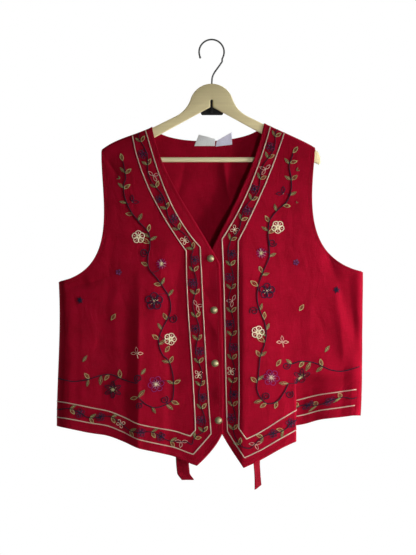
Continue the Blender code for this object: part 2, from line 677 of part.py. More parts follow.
def cords(right_tree, left_tree):
    """The right front's two cords, and the left front's two in four pieces, parted by the deep fold."""
    add_cord("right_cord_outer", cord_route(RIGHT_OUTER_CORD, True), right_front_surface, right_tree)
    add_cord("right_cord_inner", cord_route(RIGHT_INNER_CORD, True), right_front_surface, right_tree)
    for name, near, behind in (("left_cord_outer", LEFT_OUTER_CORD, LEFT_OUTER_CORD_BEHIND),
                               ("left_cord_inner", LEFT_INNER_CORD, LEFT_INNER_CORD_BEHIND)):
        add_cord(name, cord_route(near, False), left_front_surface, left_tree)
        route = along(behind, REST_COLUMNS)
        route[:, 0] += cloth_swallowed(route[:, 1])
        add_cord(name + "_behind", route, left_front_surface, left_tree, BEHIND_LIFT)


def turned(profile, sides, middle, name, finish):
    """A closed solid turned about the line through middle along -Y, from (radius, forward) pairs."""
    angles = np.linspace(0, 2 * math.pi, sides, endpoint=False)
    vertices = [(middle[0] + r * math.cos(a), middle[1] - f, middle[2] + r * math.sin(a))
                for r, f in profile for a in angles]
    faces = [tuple(reversed(range(sides))), tuple(range((len(profile) - 1) * sides, len(profile) * sides))]
    for ring in range(len(profile) - 1):
        for k in range(sides):
            a, b = ring * sides + k, ring * sides + (k + 1) % sides
            faces.append((a, b, b + sides, a + sides))
    return add_object(name, vertices, faces, finish)


def buttons(right_tree):
    """Low domes seated just clear of the placket under them."""
    rise = BUTTON_HEIGHT - BUTTON_RIM
    dome = [(BUTTON_RADIUS * math.cos(a), BUTTON_RIM + rise * math.sin(a))
            for a in np.radians((0, 28, 52, 72))]
    profile = [(BUTTON_SEAT, 0.0), (BUTTON_RADIUS - BUTTON_EASE / 2, BUTTON_EASE)] + dome
    for number, (x, z) in enumerate(BUTTONS, 1):
        around = [(x, z)] + [(x + BUTTON_RADIUS * math.cos(a), z + BUTTON_RADIUS * math.sin(a))
                             for a in np.linspace(0, 2 * math.pi, 12, endpoint=False)]
        hits = [right_tree.ray_cast(Vector((px, -1, pz)), Vector((0, 1, 0)))[0] for px, pz in around]
        front = min(hit.y for hit in hits if hit)
        turned(profile, BUTTON_SIDES, (x, front - SEAM_GAP, z), f"button_{number}", "antique brass")


def tie(name, table):
    """A flat strip sewn to the back high up, lying on it and hanging past its hem."""
    rows = np.array(table)
    z = np.unique(np.r_[rows[:, 0], np.linspace(rows[0, 0], rows[-1, 0], TIE_ROWS)])[::-1]
    x, off, twist = (np.interp(-z, -rows[:, 0], rows[:, k]) for k in (1, 2, 3))
    on_back = np.maximum(z, BACK_HEM[0][1] + TIE_ABOVE_HEM)
    reach = np.array((-0.5, -0.25, 0, 0.25, 0.5))[:, None] * TIE_WIDTH
    behind = back_surface(x + reach, np.broadcast_to(on_back, (len(reach), len(z))))[..., 1].max(0)
    middle = behind + TIE_GAP + TIE_CLOTH / 2 + off
    angle = np.radians(twist)
    wide = np.stack((np.cos(angle), np.sin(angle), 0 * z), -1)
    thick = np.stack((-np.sin(angle), np.cos(angle), 0 * z), -1)
    centre = np.stack((x, middle, z), -1)
    shares = np.array((-0.5, 0.0, 0.5))[:, None, None] * TIE_WIDTH
    outer = np.swapaxes(centre + wide * shares + thick * TIE_CLOTH / 2, 0, 1)[::-1]
    inner = np.swapaxes(centre + wide * shares - thick * TIE_CLOTH / 2, 0, 1)[::-1]
    vertices, faces = wall(outer, inner, True)
    add_object(name, vertices, faces, "crimson cloth")


def label(name, corners):
    """A blank ribbon lying on the inner face of the back neck and standing above it."""
    feet = [back_surface(np.array(x), np.array(z - LABEL_SEAM_DROP)) for x, z in corners[:2]]
    inside = min(float(foot[1]) for foot in feet) - CLOTH
    y = inside - SEAM_GAP - LABEL_CLOTH
    vertices = [(x, y + d, z) for d in (0.0, LABEL_CLOTH) for x, z in corners]
    faces = [(0, 1, 2, 3), (7, 6, 5, 4)]
    faces += [(k, k + 4, (k + 1) % 4 + 4, (k + 1) % 4) for k in range(4)]
    add_object(name, vertices, faces, "white ribbon")


def wood_outline():
    """Half the hanger's outline from the apex to the notch, as x and z, then its mirror image."""
    normal = np.array((ARM_SLOPE, 1.0)) / math.hypot(ARM_SLOPE, 1.0)
    lift = normal[1] * ARM_TOP + FILLET_RADIUS
    reach = DOME_RADIUS + FILLET_RADIUS
    a = 1 + (normal[0] / normal[1]) ** 2
    drop = lift / normal[1] - DOME_MIDDLE
    b = -2 * drop * normal[0] / normal[1]
    middle_x = (-b + math.sqrt(b * b - 4 * a * (drop * drop - reach * reach))) / (2 * a)
    middle = np.array((middle_x, (lift - normal[0] * middle_x) / normal[1]))
    dome_end = math.atan2(middle[1] - DOME_MIDDLE, middle[0])
    dome = [(DOME_RADIUS * math.cos(t), DOME_MIDDLE + DOME_RADIUS * math.sin(t))
            for t in np.linspace(math.pi / 2, dome_end, ARC_STEPS)]
    start = dome_end + math.pi
    end = math.atan2(-normal[1], -normal[0]) + 2 * math.pi
    fillet = [(middle[0] + FILLET_RADIUS * math.cos(t), middle[1] + FILLET_RADIUS * math.sin(t))
              for t in np.linspace(start, end, ARC_STEPS)][1:]
    under = [(x, UNDERSIDE_TOP - UNDERSIDE_SLOPE * x) for x in UNDERSIDE_ENDS]
    notch = [(NOTCH_HALF_WIDTH, UNDERSIDE_TOP - UNDERSIDE_SLOPE * NOTCH_HALF_WIDTH)]
    notch_middle = NOTCH_TOP - NOTCH_HALF_WIDTH
    notch += [(NOTCH_HALF_WIDTH * math.cos(t), notch_middle + NOTCH_HALF_WIDTH * math.sin(t))
              for t in np.linspace(0, math.pi / 2, 4)]
    half = dome + fillet + list(ARM_TIP) + under + notch
    mirrored = [(-x, z) for x, z in half[1:-1]][::-1]
    return np.array(half + mirrored)


def eased_plate(outline, name, finish, near, far, ease):
    """An outline given thickness from y = near to y = far, its rims eased by insetting the end rings."""
    ahead = np.roll(outline, -1, 0) - outline
    behind = outline - np.roll(outline, 1, 0)
    ahead = ahead / np.linalg.norm(ahead, axis=1, keepdims=True)
    behind = behind / np.linalg.norm(behind, axis=1, keepdims=True)
    inward = np.stack((ahead[:, 1] + behind[:, 1], -ahead[:, 0] - behind[:, 0]), -1)
    inward /= np.maximum(np.linalg.norm(inward, axis=1, keepdims=True) ** 2 / 2, 1.0)
    rings = ((near, ease), (near + ease * 0.3, ease * 0.3), (near + ease, 0.0),
             (far - ease, 0.0), (far - ease * 0.3, ease * 0.3), (far, ease))
    vertices = np.vstack([np.stack((outline[:, 0] + inward[:, 0] * inset, np.full(len(outline), y),
                                    outline[:, 1] + inward[:, 1] * inset), -1) for y, inset in rings])
    count = len(outline)
    faces = [tuple(reversed(range(count))), tuple(range((len(rings) - 1) * count, len(rings) * count))]
    for ring in range(len(rings) - 1):
        for k in range(count):
            a, b = ring * count + k, ring * count + (k + 1) % count
            faces.append((a, b, b + count, a + count))
    return add_object(name, vertices, faces, finish, 30)


def add_cutter(name, radius, start, end):
    """A hidden rod from start to end that cuts a bore."""
    bpy.ops.mesh.primitive_cylinder_add(vertices=20, radius=radius, depth=(end - start).length,
                                        location=(start + end) / 2,
                                        rotation=(end - start).to_track_quat("Z", "Y").to_euler())
    cutter = bpy.context.object
    cutter.name = name
    cutter.hide_render = True
    cutter.display_type = "WIRE"
    return cutter


def cut(obj, cutter):
    bore = obj.modifiers.new(cutter.name, "BOOLEAN")
    bore.operation = "DIFFERENCE"
    bore.solver = "EXACT"
    bore.object = cutter


def hanger():
    """The wooden body with its bores, and the round bar that joins its two arms."""
    wood = eased_plate(wood_outline(), "hanger_wood", "pale wood",
                       -WOOD_HALF_THICKNESS, WOOD_HALF_THICKNESS, WOOD_EASE)
    for sign, side in ((-1, "right"), (1, "left")):
        inner = Vector((sign * SOCKET_INNER_END, 0, BAR_HEIGHT))
        outer = Vector((sign * (BAR_HALF_LENGTH + FIT), 0, BAR_HEIGHT))
        cut(wood, add_cutter(f"bar_socket_{side}", BAR_RADIUS + FIT, inner, outer))
    root_x = HOOK_LINE[0][0]
    bore_foot = Vector((root_x, 0, HOOK_ROOT - FIT))
    bore_mouth = Vector((root_x, 0, HOOK_LINE[0][1] + HOOK_BORE_RUN))
    cut(wood, add_cutter("hook_bore", WIRE_RADIUS + FIT, bore_foot, bore_mouth))
    bpy.ops.mesh.primitive_cylinder_add(vertices=16, radius=BAR_RADIUS, depth=2 * BAR_HALF_LENGTH,
                                        location=(0, 0, BAR_HEIGHT), rotation=(0, math.pi / 2, 0))
    bar = bpy.context.object
    bar.name = "hanger_bar"
    bar.data.shade_smooth()
    bar.data.set_sharp_from_angle(angle=math.radians(40))
    bar.data.materials.append(finish_of("pale wood"))


def hook():
    """The bent wire as rings of one radius along its centre line, swelling to a ball at its end."""
    bend = np.radians(np.linspace(HOOK_BEND_START, HOOK_BEND_END, HOOK_BEND_STEPS))
    arc = np.stack((HOOK_BEND_MIDDLE[0] + HOOK_BEND_RADIUS * np.cos(bend),
                    HOOK_BEND_MIDDLE[1] + HOOK_BEND_RADIUS * np.sin(bend)), -1)
    stem = np.vstack(((HOOK_LINE[0][0], HOOK_ROOT), HOOK_LINE))
    line = np.vstack((stem, arc))
    radii = np.full(len(line), WIRE_RADIUS)
    end_way = line[-1] - line[-2]
    end_way /= np.linalg.norm(end_way)
    ball = np.radians((-40, -10, 25, 55, 78))
    ball_run = BALL_NECK + BALL_RADIUS * (1 + np.sin(ball))
    line = np.vstack((line, line[-1] + end_way * ball_run[:, None]))
    radii = np.r_[radii, BALL_RADIUS * np.cos(ball)]
    way = np.gradient(line, axis=0)
    way /= np.linalg.norm(way, axis=1, keepdims=True)
    side = np.stack((-way[:, 1], 0 * way[:, 0], way[:, 0]), -1)
    centre = np.stack((line[:, 0], 0 * line[:, 0], line[:, 1]), -1)
    angles = np.linspace(0, 2 * math.pi, WIRE_SIDES, endpoint=False)
    behind = np.array((0, 1, 0))
    rings = [centre + radii[:, None] * (math.cos(a) * side + math.sin(a) * behind) for a in angles]
    vertices = np.stack(rings, 1).reshape(-1, 3)
    faces = [tuple(range(WIRE_SIDES))]
    faces.append(tuple(reversed(range(len(vertices) - WIRE_SIDES, len(vertices)))))
    for i in range(len(line) - 1):
        for k in range(WIRE_SIDES):
            a, b = i * WIRE_SIDES + k, i * WIRE_SIDES + (k + 1) % WIRE_SIDES
            faces.append((a, a + WIRE_SIDES, b + WIRE_SIDES, b))
    add_object("hanger_hook", vertices, faces, "steel wire")


def plate():
    """The black fitting: a rounded plate behind the wood with a tongue standing into the notch."""
    left, right = PLATE_MIDDLE - PLATE_HALF_WIDTH, PLATE_MIDDLE + PLATE_HALF_WIDTH
    outline = []
    for x, z, start in ((right, PLATE_TOP, 90), (right, PLATE_LOW, 0), (left, PLATE_LOW, -90),
                        (left, PLATE_TOP, -180)):
        middle_x = x - math.copysign(PLATE_CORNER, x - PLATE_MIDDLE)
        middle_z = z + (PLATE_CORNER if z == PLATE_LOW else -PLATE_CORNER)
        turns = np.radians(start - np.linspace(0, 90, 5))
        outline += [(middle_x + PLATE_CORNER * math.cos(turn), middle_z + PLATE_CORNER * math.sin(turn))
                    for turn in turns]
    near = WOOD_HALF_THICKNESS + FIT
    body = eased_plate(np.array(outline), "hanger_plate", "black plastic",
                       near, near + PLATE_THICKNESS, PLATE_EASE)
    bpy.ops.mesh.primitive_cube_add(size=1)
    tongue = bpy.context.object
    tongue.name = "plate_tongue"
    tongue.hide_render = True
    tongue.display_type = "WIRE"
    tongue_back = near + PLATE_THICKNESS / 2
    tongue_foot = PLATE_LOW + TONGUE_ROOT
    lengths = np.array((2 * TONGUE_HALF_WIDTH, tongue_back - TONGUE_FRONT, TONGUE_TOP - tongue_foot))
    middle = np.array((0.0, (tongue_back + TONGUE_FRONT) / 2, (TONGUE_TOP + tongue_foot) / 2))
    for vertex in tongue.data.vertices:
        vertex.co = Vector(np.array(vertex.co) * lengths + middle)
    joined = body.modifiers.new("tongue", "BOOLEAN")
    joined.operation = "UNION"
    joined.solver = "EXACT"
    joined.object = tongue


def main():
    for obj in list(bpy.data.objects):
        bpy.data.objects.remove(obj)
    right_tree = right_front()
    left_tree = left_front()
    back()
    cords(right_tree, left_tree)
    buttons(right_tree)
    tie("tie_right", TIE_RIGHT)
    tie("tie_left", TIE_LEFT)
    label("neck_label", NECK_LABEL)
    label("care_label", CARE_LABEL)
    hanger()
    hook()
    plate()


main()
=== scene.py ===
"""A crimson embroidered vest on a flat wooden hanger, dressed over its fixed frame.

Metres, +Z up. The front faces -Y and the origin is the inside top of the hanger's hook. Left and
right are the wearer's, so the right front lies at -X. A place on a panel is named by p, its place
across the cloth with the deep fold opened out, and z, its height.
"""

import logging
import math
from dataclasses import dataclass, field
from enum import Enum
from typing import Callable, Iterable, Optional, Sequence

import bpy
import numpy as np
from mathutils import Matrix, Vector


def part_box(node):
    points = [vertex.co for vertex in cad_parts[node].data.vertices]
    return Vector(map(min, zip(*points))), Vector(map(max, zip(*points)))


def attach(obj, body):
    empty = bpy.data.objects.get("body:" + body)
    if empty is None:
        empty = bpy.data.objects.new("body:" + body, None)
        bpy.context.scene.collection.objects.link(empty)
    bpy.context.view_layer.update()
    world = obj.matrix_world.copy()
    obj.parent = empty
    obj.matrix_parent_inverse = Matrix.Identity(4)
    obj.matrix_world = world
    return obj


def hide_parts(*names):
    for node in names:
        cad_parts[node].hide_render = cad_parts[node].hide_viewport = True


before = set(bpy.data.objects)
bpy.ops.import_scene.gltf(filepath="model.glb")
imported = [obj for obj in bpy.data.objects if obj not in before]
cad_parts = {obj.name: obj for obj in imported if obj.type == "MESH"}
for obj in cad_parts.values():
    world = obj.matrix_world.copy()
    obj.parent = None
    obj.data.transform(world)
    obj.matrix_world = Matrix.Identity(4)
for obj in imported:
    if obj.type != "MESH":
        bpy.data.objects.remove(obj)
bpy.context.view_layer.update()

LOG = logging.getLogger("vest")
MM = 0.001

Array = np.ndarray
Place = Sequence[float]
Colour = tuple[float, float, float]
Piece = bpy.types.Object
Material = bpy.types.Material
Socket = bpy.types.NodeSocket


def mm(*rows: Sequence) -> Array:
    """A table written in millimetres, in metres."""
    return np.array(rows, float) / 1000


def pairs(*values: float) -> Array:
    """A run of x and z, x and z and so on, written in millimetres, as rows in metres."""
    return mm(*values).reshape(-1, 2)


def chain(*rows: Place) -> list[Array]:
    """Cubic curves, each starting where the last one ends, from their control points."""
    return [mm(*rows[k:k + 4]) for k in range(0, len(rows) - 1, 3)]


def tie_rows(*rows: Place) -> Array:
    """A tie's rows of height, x, offset and twist, written in millimetres and degrees."""
    return np.array(rows, float) / (1000, 1000, 1000, 1)


# Outlines in the front view: x and z of the four control points of each cubic curve
RIGHT_SIDE = mm((-316, -786), (-316, -688), (-306, -591), (-312, -493))
RIGHT_ARMHOLE = mm((-312, -493), (-182, -466), (-227, -317), (-224, -223))
RIGHT_SHOULDER = mm((-224, -223), (-195, -199), (-155, -193.5), (-122, -176.4))
RIGHT_NECK = mm((16, -456), (-31, -365), (-104, -281), (-122, -176.4))
RIGHT_EDGE = mm((22, -799), (26, -685), (20, -570), (16, -456))
RIGHT_HEM = mm((-316, -786), (-218, -803), (-125, -839), (-30, -866))
RIGHT_TIP_RISE = mm((-30, -866), (-10, -848), (12, -824), (22, -799))
LEFT_SIDE = mm((291, -764), (304, -667), (309, -571), (309, -473))
LEFT_ARMHOLE = mm((309, -473), (181, -443), (203, -319), (211, -219))
LEFT_SHOULDER = mm((108, -168.9), (138, -184.5), (187, -203.5), (211, -219))
LEFT_NECK = mm((-10, -450), (30, -362), (88, -268), (108, -168.9))
LEFT_EDGE = mm((11, -782), (-6, -680), (-8, -560), (-10, -450))
LEFT_TIP_RISE = mm((11, -782), (26, -812), (45, -842), (65, -870))
LEFT_HEM = mm((65, -870), (100, -853), (136, -835), (166, -819))
LEFT_HEM_BEHIND = mm((170, -792), (223, -777), (250, -768), (291, -764))
BACK_NECK = mm((-122, -176.4), (-98, -218), (90, -215), (108, -168.9))
BACK_HEM = mm((-316, -786), (-110, -781), (100, -773), (291, -764))

# Height, how far the fronts stand off the seams, how far the back does
STANDING = mm(
    (-880, 29, 11.5), (-700, 25, 11), (-550, 20.5, 10.5), (-400, 15.5, 9.5), (-260, 10.8, 8.8),
    (-160, 8.2, 8.2))
# Height, how far the back wraps forward round the left side
WRAP = mm((-764, 13.5), (-720, 10), (-666, 5.5), (-600, 1.5), (-540, 0))

# Folds: head x, head z, foot x, foot z, half width, height
FRONT_FOLDS = mm(
    (-118, -430, -128, -900, 32, 5.2), (-170, -490, -172, -900, 18, -3.4),
    (-215, -520, -212, -900, 28, -2.6), (-288, -530, -292, -850, 14, 2.6),
    (-330, -500, -262, -492, 10, -2), (-80, -330, -100, -470, 22, 1.4), (48, -470, 46, -900, 18, -2.6),
    (110, -560, 124, -900, 36, 3.2), (222, -400, 284, -575, 14, -3.2), (278, -470, 300, -650, 13, -2.6),
    (248, -450, 268, -620, 12, 1.8), (225, -620, 240, -850, 22, 2.2))
BACK_FOLDS = mm(
    (22, -235, 44, -360, 14, -1.4), (-120, -440, -150, -850, 30, 1.8), (-215, -480, -225, -850, 24, -2),
    (20, -520, 12, -850, 28, -1.8), (105, -470, 130, -850, 26, 1.8), (215, -450, 220, -850, 24, -2))
# Sharper creases on top of the folds, in the scene's cloth alone. Columns: head x, head z, foot x,
# foot z, width on the crest's -X side, width on its +X side, height
FRONT_CREASES = mm(
    (-148, -480, -150, -860, 40, 10, 7), (-262, -560, -268, -780, 16, 10, 1.6),
    (-300, -508, -222, -486, 6, 6, -2.2), (-216, -240, -192, -275, 5, 6, -2),
    (-205, -400, -214, -560, 12, 12, -1.4), (-60, -420, -75, -560, 9, 9, -1.2),
    (-92, -600, -100, -840, 10, 8, 1.4), (-22, -500, 14, -560, 4.5, 4.5, -1.4),
    (-18, -540, 14, -605, 4, 4, 1.2), (-26, -610, 10, -645, 4, 4, -1.1),
    (-20, -700, 12, -735, 4.5, 4.5, -1.1), (64, -380, 62, -900, 30, 70, 16),
    (-90, -470, -90, -900, 200, 140, -7), (310, -560, 304, -800, 30, 30, 2.6),
    (140, -330, 150, -470, 12, 10, -1), (228, -400, 272, -545, 7, 11, -1.8),
    (276, -470, 298, -640, 6, 10, -1.4), (252, -470, 268, -640, 9, 6, 1.8),
    (205, -480, 196, -660, 16, 12, 1.4), (272, -640, 262, -790, 9, 7, -1.8),
    (288, -640, 283, -780, 6, 6, 1.4), (196, -700, 198, -800, 7, 9, 1.6),
    (140, -640, 150, -840, 12, 8, 1.4))
BACK_CREASES = mm(
    (22, -235, 42, -350, 5, 8, -5.1), (52, -235, 50, -330, 8, 6, 2.7), (-50, -240, -75, -340, 9, 7, 2.4),
    (-170, -520, -180, -780, 12, 9, 3.4), (-255, -500, -270, -660, 8, 9, -3.7),
    (-70, -560, -64, -790, 13, 11, -3.1), (55, -600, 60, -790, 11, 9, 2.7),
    (160, -520, 170, -760, 9, 12, -3.4), (245, -480, 262, -660, 9, 8, -3.7),
    (-165, -300, -185, -430, 12, 10, 2.7), (150, -290, 170, -420, 10, 12, 2.7),
    (-10, -400, -4, -560, 14, 12, 2))
# How far the right front's hem is drawn up or down, and the left front's: x, height
RIGHT_HEM_WAVE = mm(
    (-320, 0), (-255, 0.6), (-212, 5.2), (-180, 3), (-150, -1), (-110, 2.6), (-76, 5), (-50, 1.8),
    (-30, 0), (30, 0))
LEFT_HEM_WAVE = mm(
    (10, 0), (65, 0), (100, -0.8), (140, 1.2), (166, 0), (190, -1.4), (222, 1), (262, -0.8), (291, 0))

# Cords sewn along each front: down the neck, down the edge, round the tip, along the hem
RIGHT_OUTER_CORD = chain(
    (-133.5, -188), (-111, -266), (-85, -356), (-23.5, -421.5), (-17, -548), (-12, -675), (-1, -801),
    (-13, -815), (-25, -829), (-37.3, -843.3), (-132, -825), (-219, -778), (-315.5, -768))
RIGHT_INNER_CORD = chain(
    (-160.5, -199.5), (-147, -280), (-103, -359), (-51.5, -430), (-52, -551), (-36, -673), (-33, -794),
    (-36, -798), (-40, -802), (-43, -806.8), (-138, -794), (-220, -746), (-315, -736))
LEFT_OUTER_CORD = chain(
    (118, -183), (97, -257), (68, -336), (21.3, -405.5), (28, -536), (27, -666), (32, -796), (42, -812),
    (54, -831), (66.7, -849.5), (98, -834), (135, -816), (165.5, -797))
LEFT_INNER_CORD = chain(
    (145.8, -196), (123, -266), (91, -339), (54.2, -409), (52, -536), (58, -663), (55.3, -790), (60, -797),
    (65, -804), (70.8, -811.5), (100, -797), (135, -777), (165.5, -757))
LEFT_OUTER_BEHIND = mm((168, -767.5), (205, -757), (250, -749), (291.5, -744))
LEFT_INNER_BEHIND = mm((168, -735.5), (205, -723), (250, -718), (294.5, -711.5))
CORDS = {"right_outer": (RIGHT_OUTER_CORD, None), "right_inner": (RIGHT_INNER_CORD, None),
         "left_outer": (LEFT_OUTER_CORD, LEFT_OUTER_BEHIND),
         "left_inner": (LEFT_INNER_CORD, LEFT_INNER_BEHIND)}
# The bands' motifs by letter for each stretch, and the shares of it where they begin and end
BANDS = {"right": (("lplklnlplcl", 0.075, 1.0), ("nlplklnlplclnlpl", 0.06, 1.0), ("l", 0.6, 0.6),
                   ("klnlplclnlpl", 0.075, 0.906)),
         "left": (("lplklnlplcl", 0.065, 1.0), ("nlplklnlplclnlpl", 0.074, 1.0), ("l", 0.72, 0.72),
                  ("klnlp", 0.2, 0.95), ("", 0.0, 1.0), ("lnlpl", 0.05, 0.72))}

# Vines and leaves on the chests: x, z
RIGHT_VINE = pairs(
    -181, -246, -179, -254, -175, -281, -179, -295, -177, -319, -166, -346, -150, -368, -134, -385,
    -126, -399, -126, -426, -129, -436, -128, -464, -113, -483, -99, -503, -87, -523, -83, -544, -87, -562,
    -99, -585, -107, -607, -107, -623, -99, -642, -87, -654, -79, -681, -77, -705, -79, -732, -88, -742,
    -111, -750, -130, -744, -140, -736, -150, -727)
LEFT_VINE = pairs(
    166, -230, 164, -238, 158, -257, 162, -281, 162, -305, 154, -328, 137, -344, 119, -366, 115, -393,
    117, -421, 117, -442, 109, -462, 99, -487, 93, -511, 93, -532, 99, -554, 107, -574, 111, -597,
    107, -621, 99, -644, 95, -681, 92, -711, 103, -732, 117, -740, 135, -734, 148, -715, 156, -699)
RIGHT_BRANCH = pairs(
    -313, -689, -281, -695, -252, -691, -226, -683, -205, -681, -185, -689, -169, -695, -152, -699)
LEFT_BRANCH = pairs(
    162, -660, 180, -654, 205, -656, 227, -665, 244, -672, 268, -674, 301, -665)
RIGHT_LEAVES = pairs(
    -181, -246, -179, -271, -169, -271, -183, -302, -173, -303, -179, -334, -164, -358, -143, -364,
    -126, -389, -130, -403, -136, -413, -118, -408, -136, -460, -97, -495, -107, -501, -81, -518,
    -97, -566, -107, -587, -115, -609, -99, -619, -89, -630, -90, -659, -81, -656, -84, -701, -71, -701,
    -89, -752, -77, -744, -122, -752, -156, -725, -145, -716, -250, -683, -248, -697, -209, -687,
    -222, -695, -183, -681, -138, -676, -199, -565, -257, -650)
LEFT_LEAVES = pairs(
    168, -230, 154, -252, 166, -252, 156, -285, 168, -285, 164, -317, 148, -340, 127, -344, 113, -370,
    109, -389, 123, -393, 123, -442, 99, -472, 107, -481, 86, -500, 101, -550, 107, -569, 113, -591,
    99, -613, 105, -603, 95, -644, 103, -644, 85, -695, 97, -693, 109, -744, 97, -738, 135, -738,
    148, -695, 137, -658, 162, -654, 187, -660, 199, -668, 227, -660, 223, -672, 184, -546, 236, -630)

TIE_RIGHT = tie_rows(
    (-545, -78, 0, 0), (-600, -78, 0, 0), (-660, -74, 0, 0), (-720, -68, 0, 0), (-775, -64, 0, 0),
    (-800, -62, 0.4, 0), (-835, -61, 0.4, 2), (-868, -59.2, 0, 4), (-884, -57.6, -1, 8),
    (-888, -55.6, -1.4, 10), (-897, -48.4, -2, 14))
TIE_LEFT = tie_rows(
    (-545, 88, 0, 0), (-600, 88, 0, 0), (-660, 89, 0, 0), (-720, 90, 0, 0), (-772, 90.5, 0.2, 0),
    (-792, 91, 0.6, 12), (-815, 91.8, -2, 34), (-840, 92.2, -5.6, 54), (-868, 92.5, -8.2, 62),
    (-892, 93.5, -8.6, 62), (-912, 95, -8.6, 58))
# Half a button's section, in shares of its radius and depth, from its foot to its crown
BUTTON_PROFILE = np.array((
    (0.6, 0.0), (0.9, 0.05), (0.985, 0.14), (1.0, 0.26), (0.985, 0.38), (0.93, 0.45), (0.87, 0.44),
    (0.83, 0.42), (0.78, 0.5), (0.7, 0.64), (0.58, 0.79), (0.42, 0.91), (0.26, 0.97), (0.12, 0.99),
    (0.02, 1.0)))
HOOK_STEM = mm((0.6, -96.5), (0.6, -87), (1.4, -76), (5.5, -66.3), (14, -54.2), (21.5, -43.5))
# The whole cut of each panel: width and height
CUTS = {"right": (0.352, 0.7), "left": (0.39, 0.706), "back": (0.68, 0.622)}
NECK_LABEL = mm((-34.7, -215), (6.3, -215), (7.3, -200.9), (-25.9, -192.2))
CARE_LABEL = mm((8.4, -216.3), (41.6, -212), (41, -187.3), (11, -204.6))


def shares_of(count: int) -> Array:
    """A count of even shares from 0 to 1."""
    return np.linspace(0, 1, count)


def smooth(t: Array) -> Array:
    """An S from 0 to 1: t squared times (3 - 2t), held outside 0 to 1."""
    t = np.clip(t, 0, 1)
    return t * t * (3 - 2 * t)


def bezier(control: Array, t: Array) -> Array:
    """Points of a cubic curve: its control points weighted by the four Bernstein terms of t."""
    a, b, c, d = control
    t = np.asarray(t, float)[:, None]
    return (1 - t) ** 3 * a + 3 * (1 - t) ** 2 * t * b + 3 * (1 - t) * t ** 2 * c + t ** 3 * d


def travelled(points: Array) -> Array:
    """The length covered at each point of a line: the running sum of its steps."""
    return np.r_[0, np.cumsum(np.linalg.norm(np.diff(points, axis=0), axis=1))]


def along(control: Array, shares: Array) -> Array:
    """Points of a cubic curve at shares of its length, read off its running length."""
    t = shares_of(400)
    length = travelled(bezier(control, t))
    return bezier(control, np.interp(np.asarray(shares) * length[-1], length, t))


def resampled(points: Array, step: float) -> Array:
    """A line's points spaced evenly, about one step apart, with both ends kept."""
    return even(points, max(2, int(math.ceil(travelled(points)[-1] / step)) + 1))


def line_at(control: Array, z: Array) -> Array:
    """x of an upright curve at the heights z, held beyond its ends."""
    points = along(control, shares_of(120))
    return np.interp(z, points[:, 1], points[:, 0])


def even(points: Array, count: int = 160) -> Array:
    """A line's points replaced by a count of evenly spaced ones."""
    length = travelled(points)
    places = np.linspace(0, length[-1], count)
    return np.stack([np.interp(places, length, points[:, k]) for k in range(points.shape[1])], -1)


def rounded_line(points: Sequence[Place], step: float = 1.5 * MM) -> Array:
    """A smooth line through points: each stretch is the cubic whose end slopes are half the step
    between the two neighbours of each end."""
    p = np.asarray(points, float)
    ends = np.vstack((2 * p[0] - p[1], p, 2 * p[-1] - p[-2]))
    slope = (ends[2:] - ends[:-2]) / 2
    t = np.linspace(0, 1, 12, endpoint=False)[None, :, None]
    a, b, s, e = p[:-1, None], p[1:, None], slope[:-1, None], slope[1:, None]
    curve = ((2 * t ** 3 - 3 * t ** 2 + 1) * a + (t ** 3 - 2 * t ** 2 + t) * s
             + (3 * t ** 2 - 2 * t ** 3) * b + (t ** 3 - t ** 2) * e)
    return resampled(np.vstack((curve.reshape(-1, p.shape[1]), p[-1])), step)


def unit(vectors: Array) -> Array:
    """Vectors divided by their lengths."""
    return vectors / np.maximum(np.linalg.norm(vectors, axis=-1, keepdims=True), 1e-12)


def around(sides: int) -> Array:
    """Angles set evenly round a full turn."""
    return np.linspace(0, 2 * math.pi, sides, endpoint=False)


def joined(*arrays: Array) -> Array:
    """Arrays of values set side by side, each stretched to the others' shape."""
    return np.stack(np.broadcast_arrays(*arrays), -1)


def circle(angles: Array) -> Array:
    """Points of the unit circle: the cosine and the sine of each angle."""
    return joined(np.cos(angles), np.sin(angles))


def leftward(run: Array) -> Array:
    """Each direction turned a quarter turn to the left."""
    return joined(-run[:, 1], run[:, 0])


def distance_to(line: Array, x: Array, z: Array) -> Array:
    """How far each place is from the nearest of a line's points.

    Args:
        line: points of the line, close together.
        x, z: places.
    Returns:
        The least distance at each place.
    """
    nearest = np.full(x.shape, np.inf)
    for point in line:
        nearest = np.minimum(nearest, (x - point[0]) ** 2 + (z - point[1]) ** 2)
    return np.sqrt(nearest)


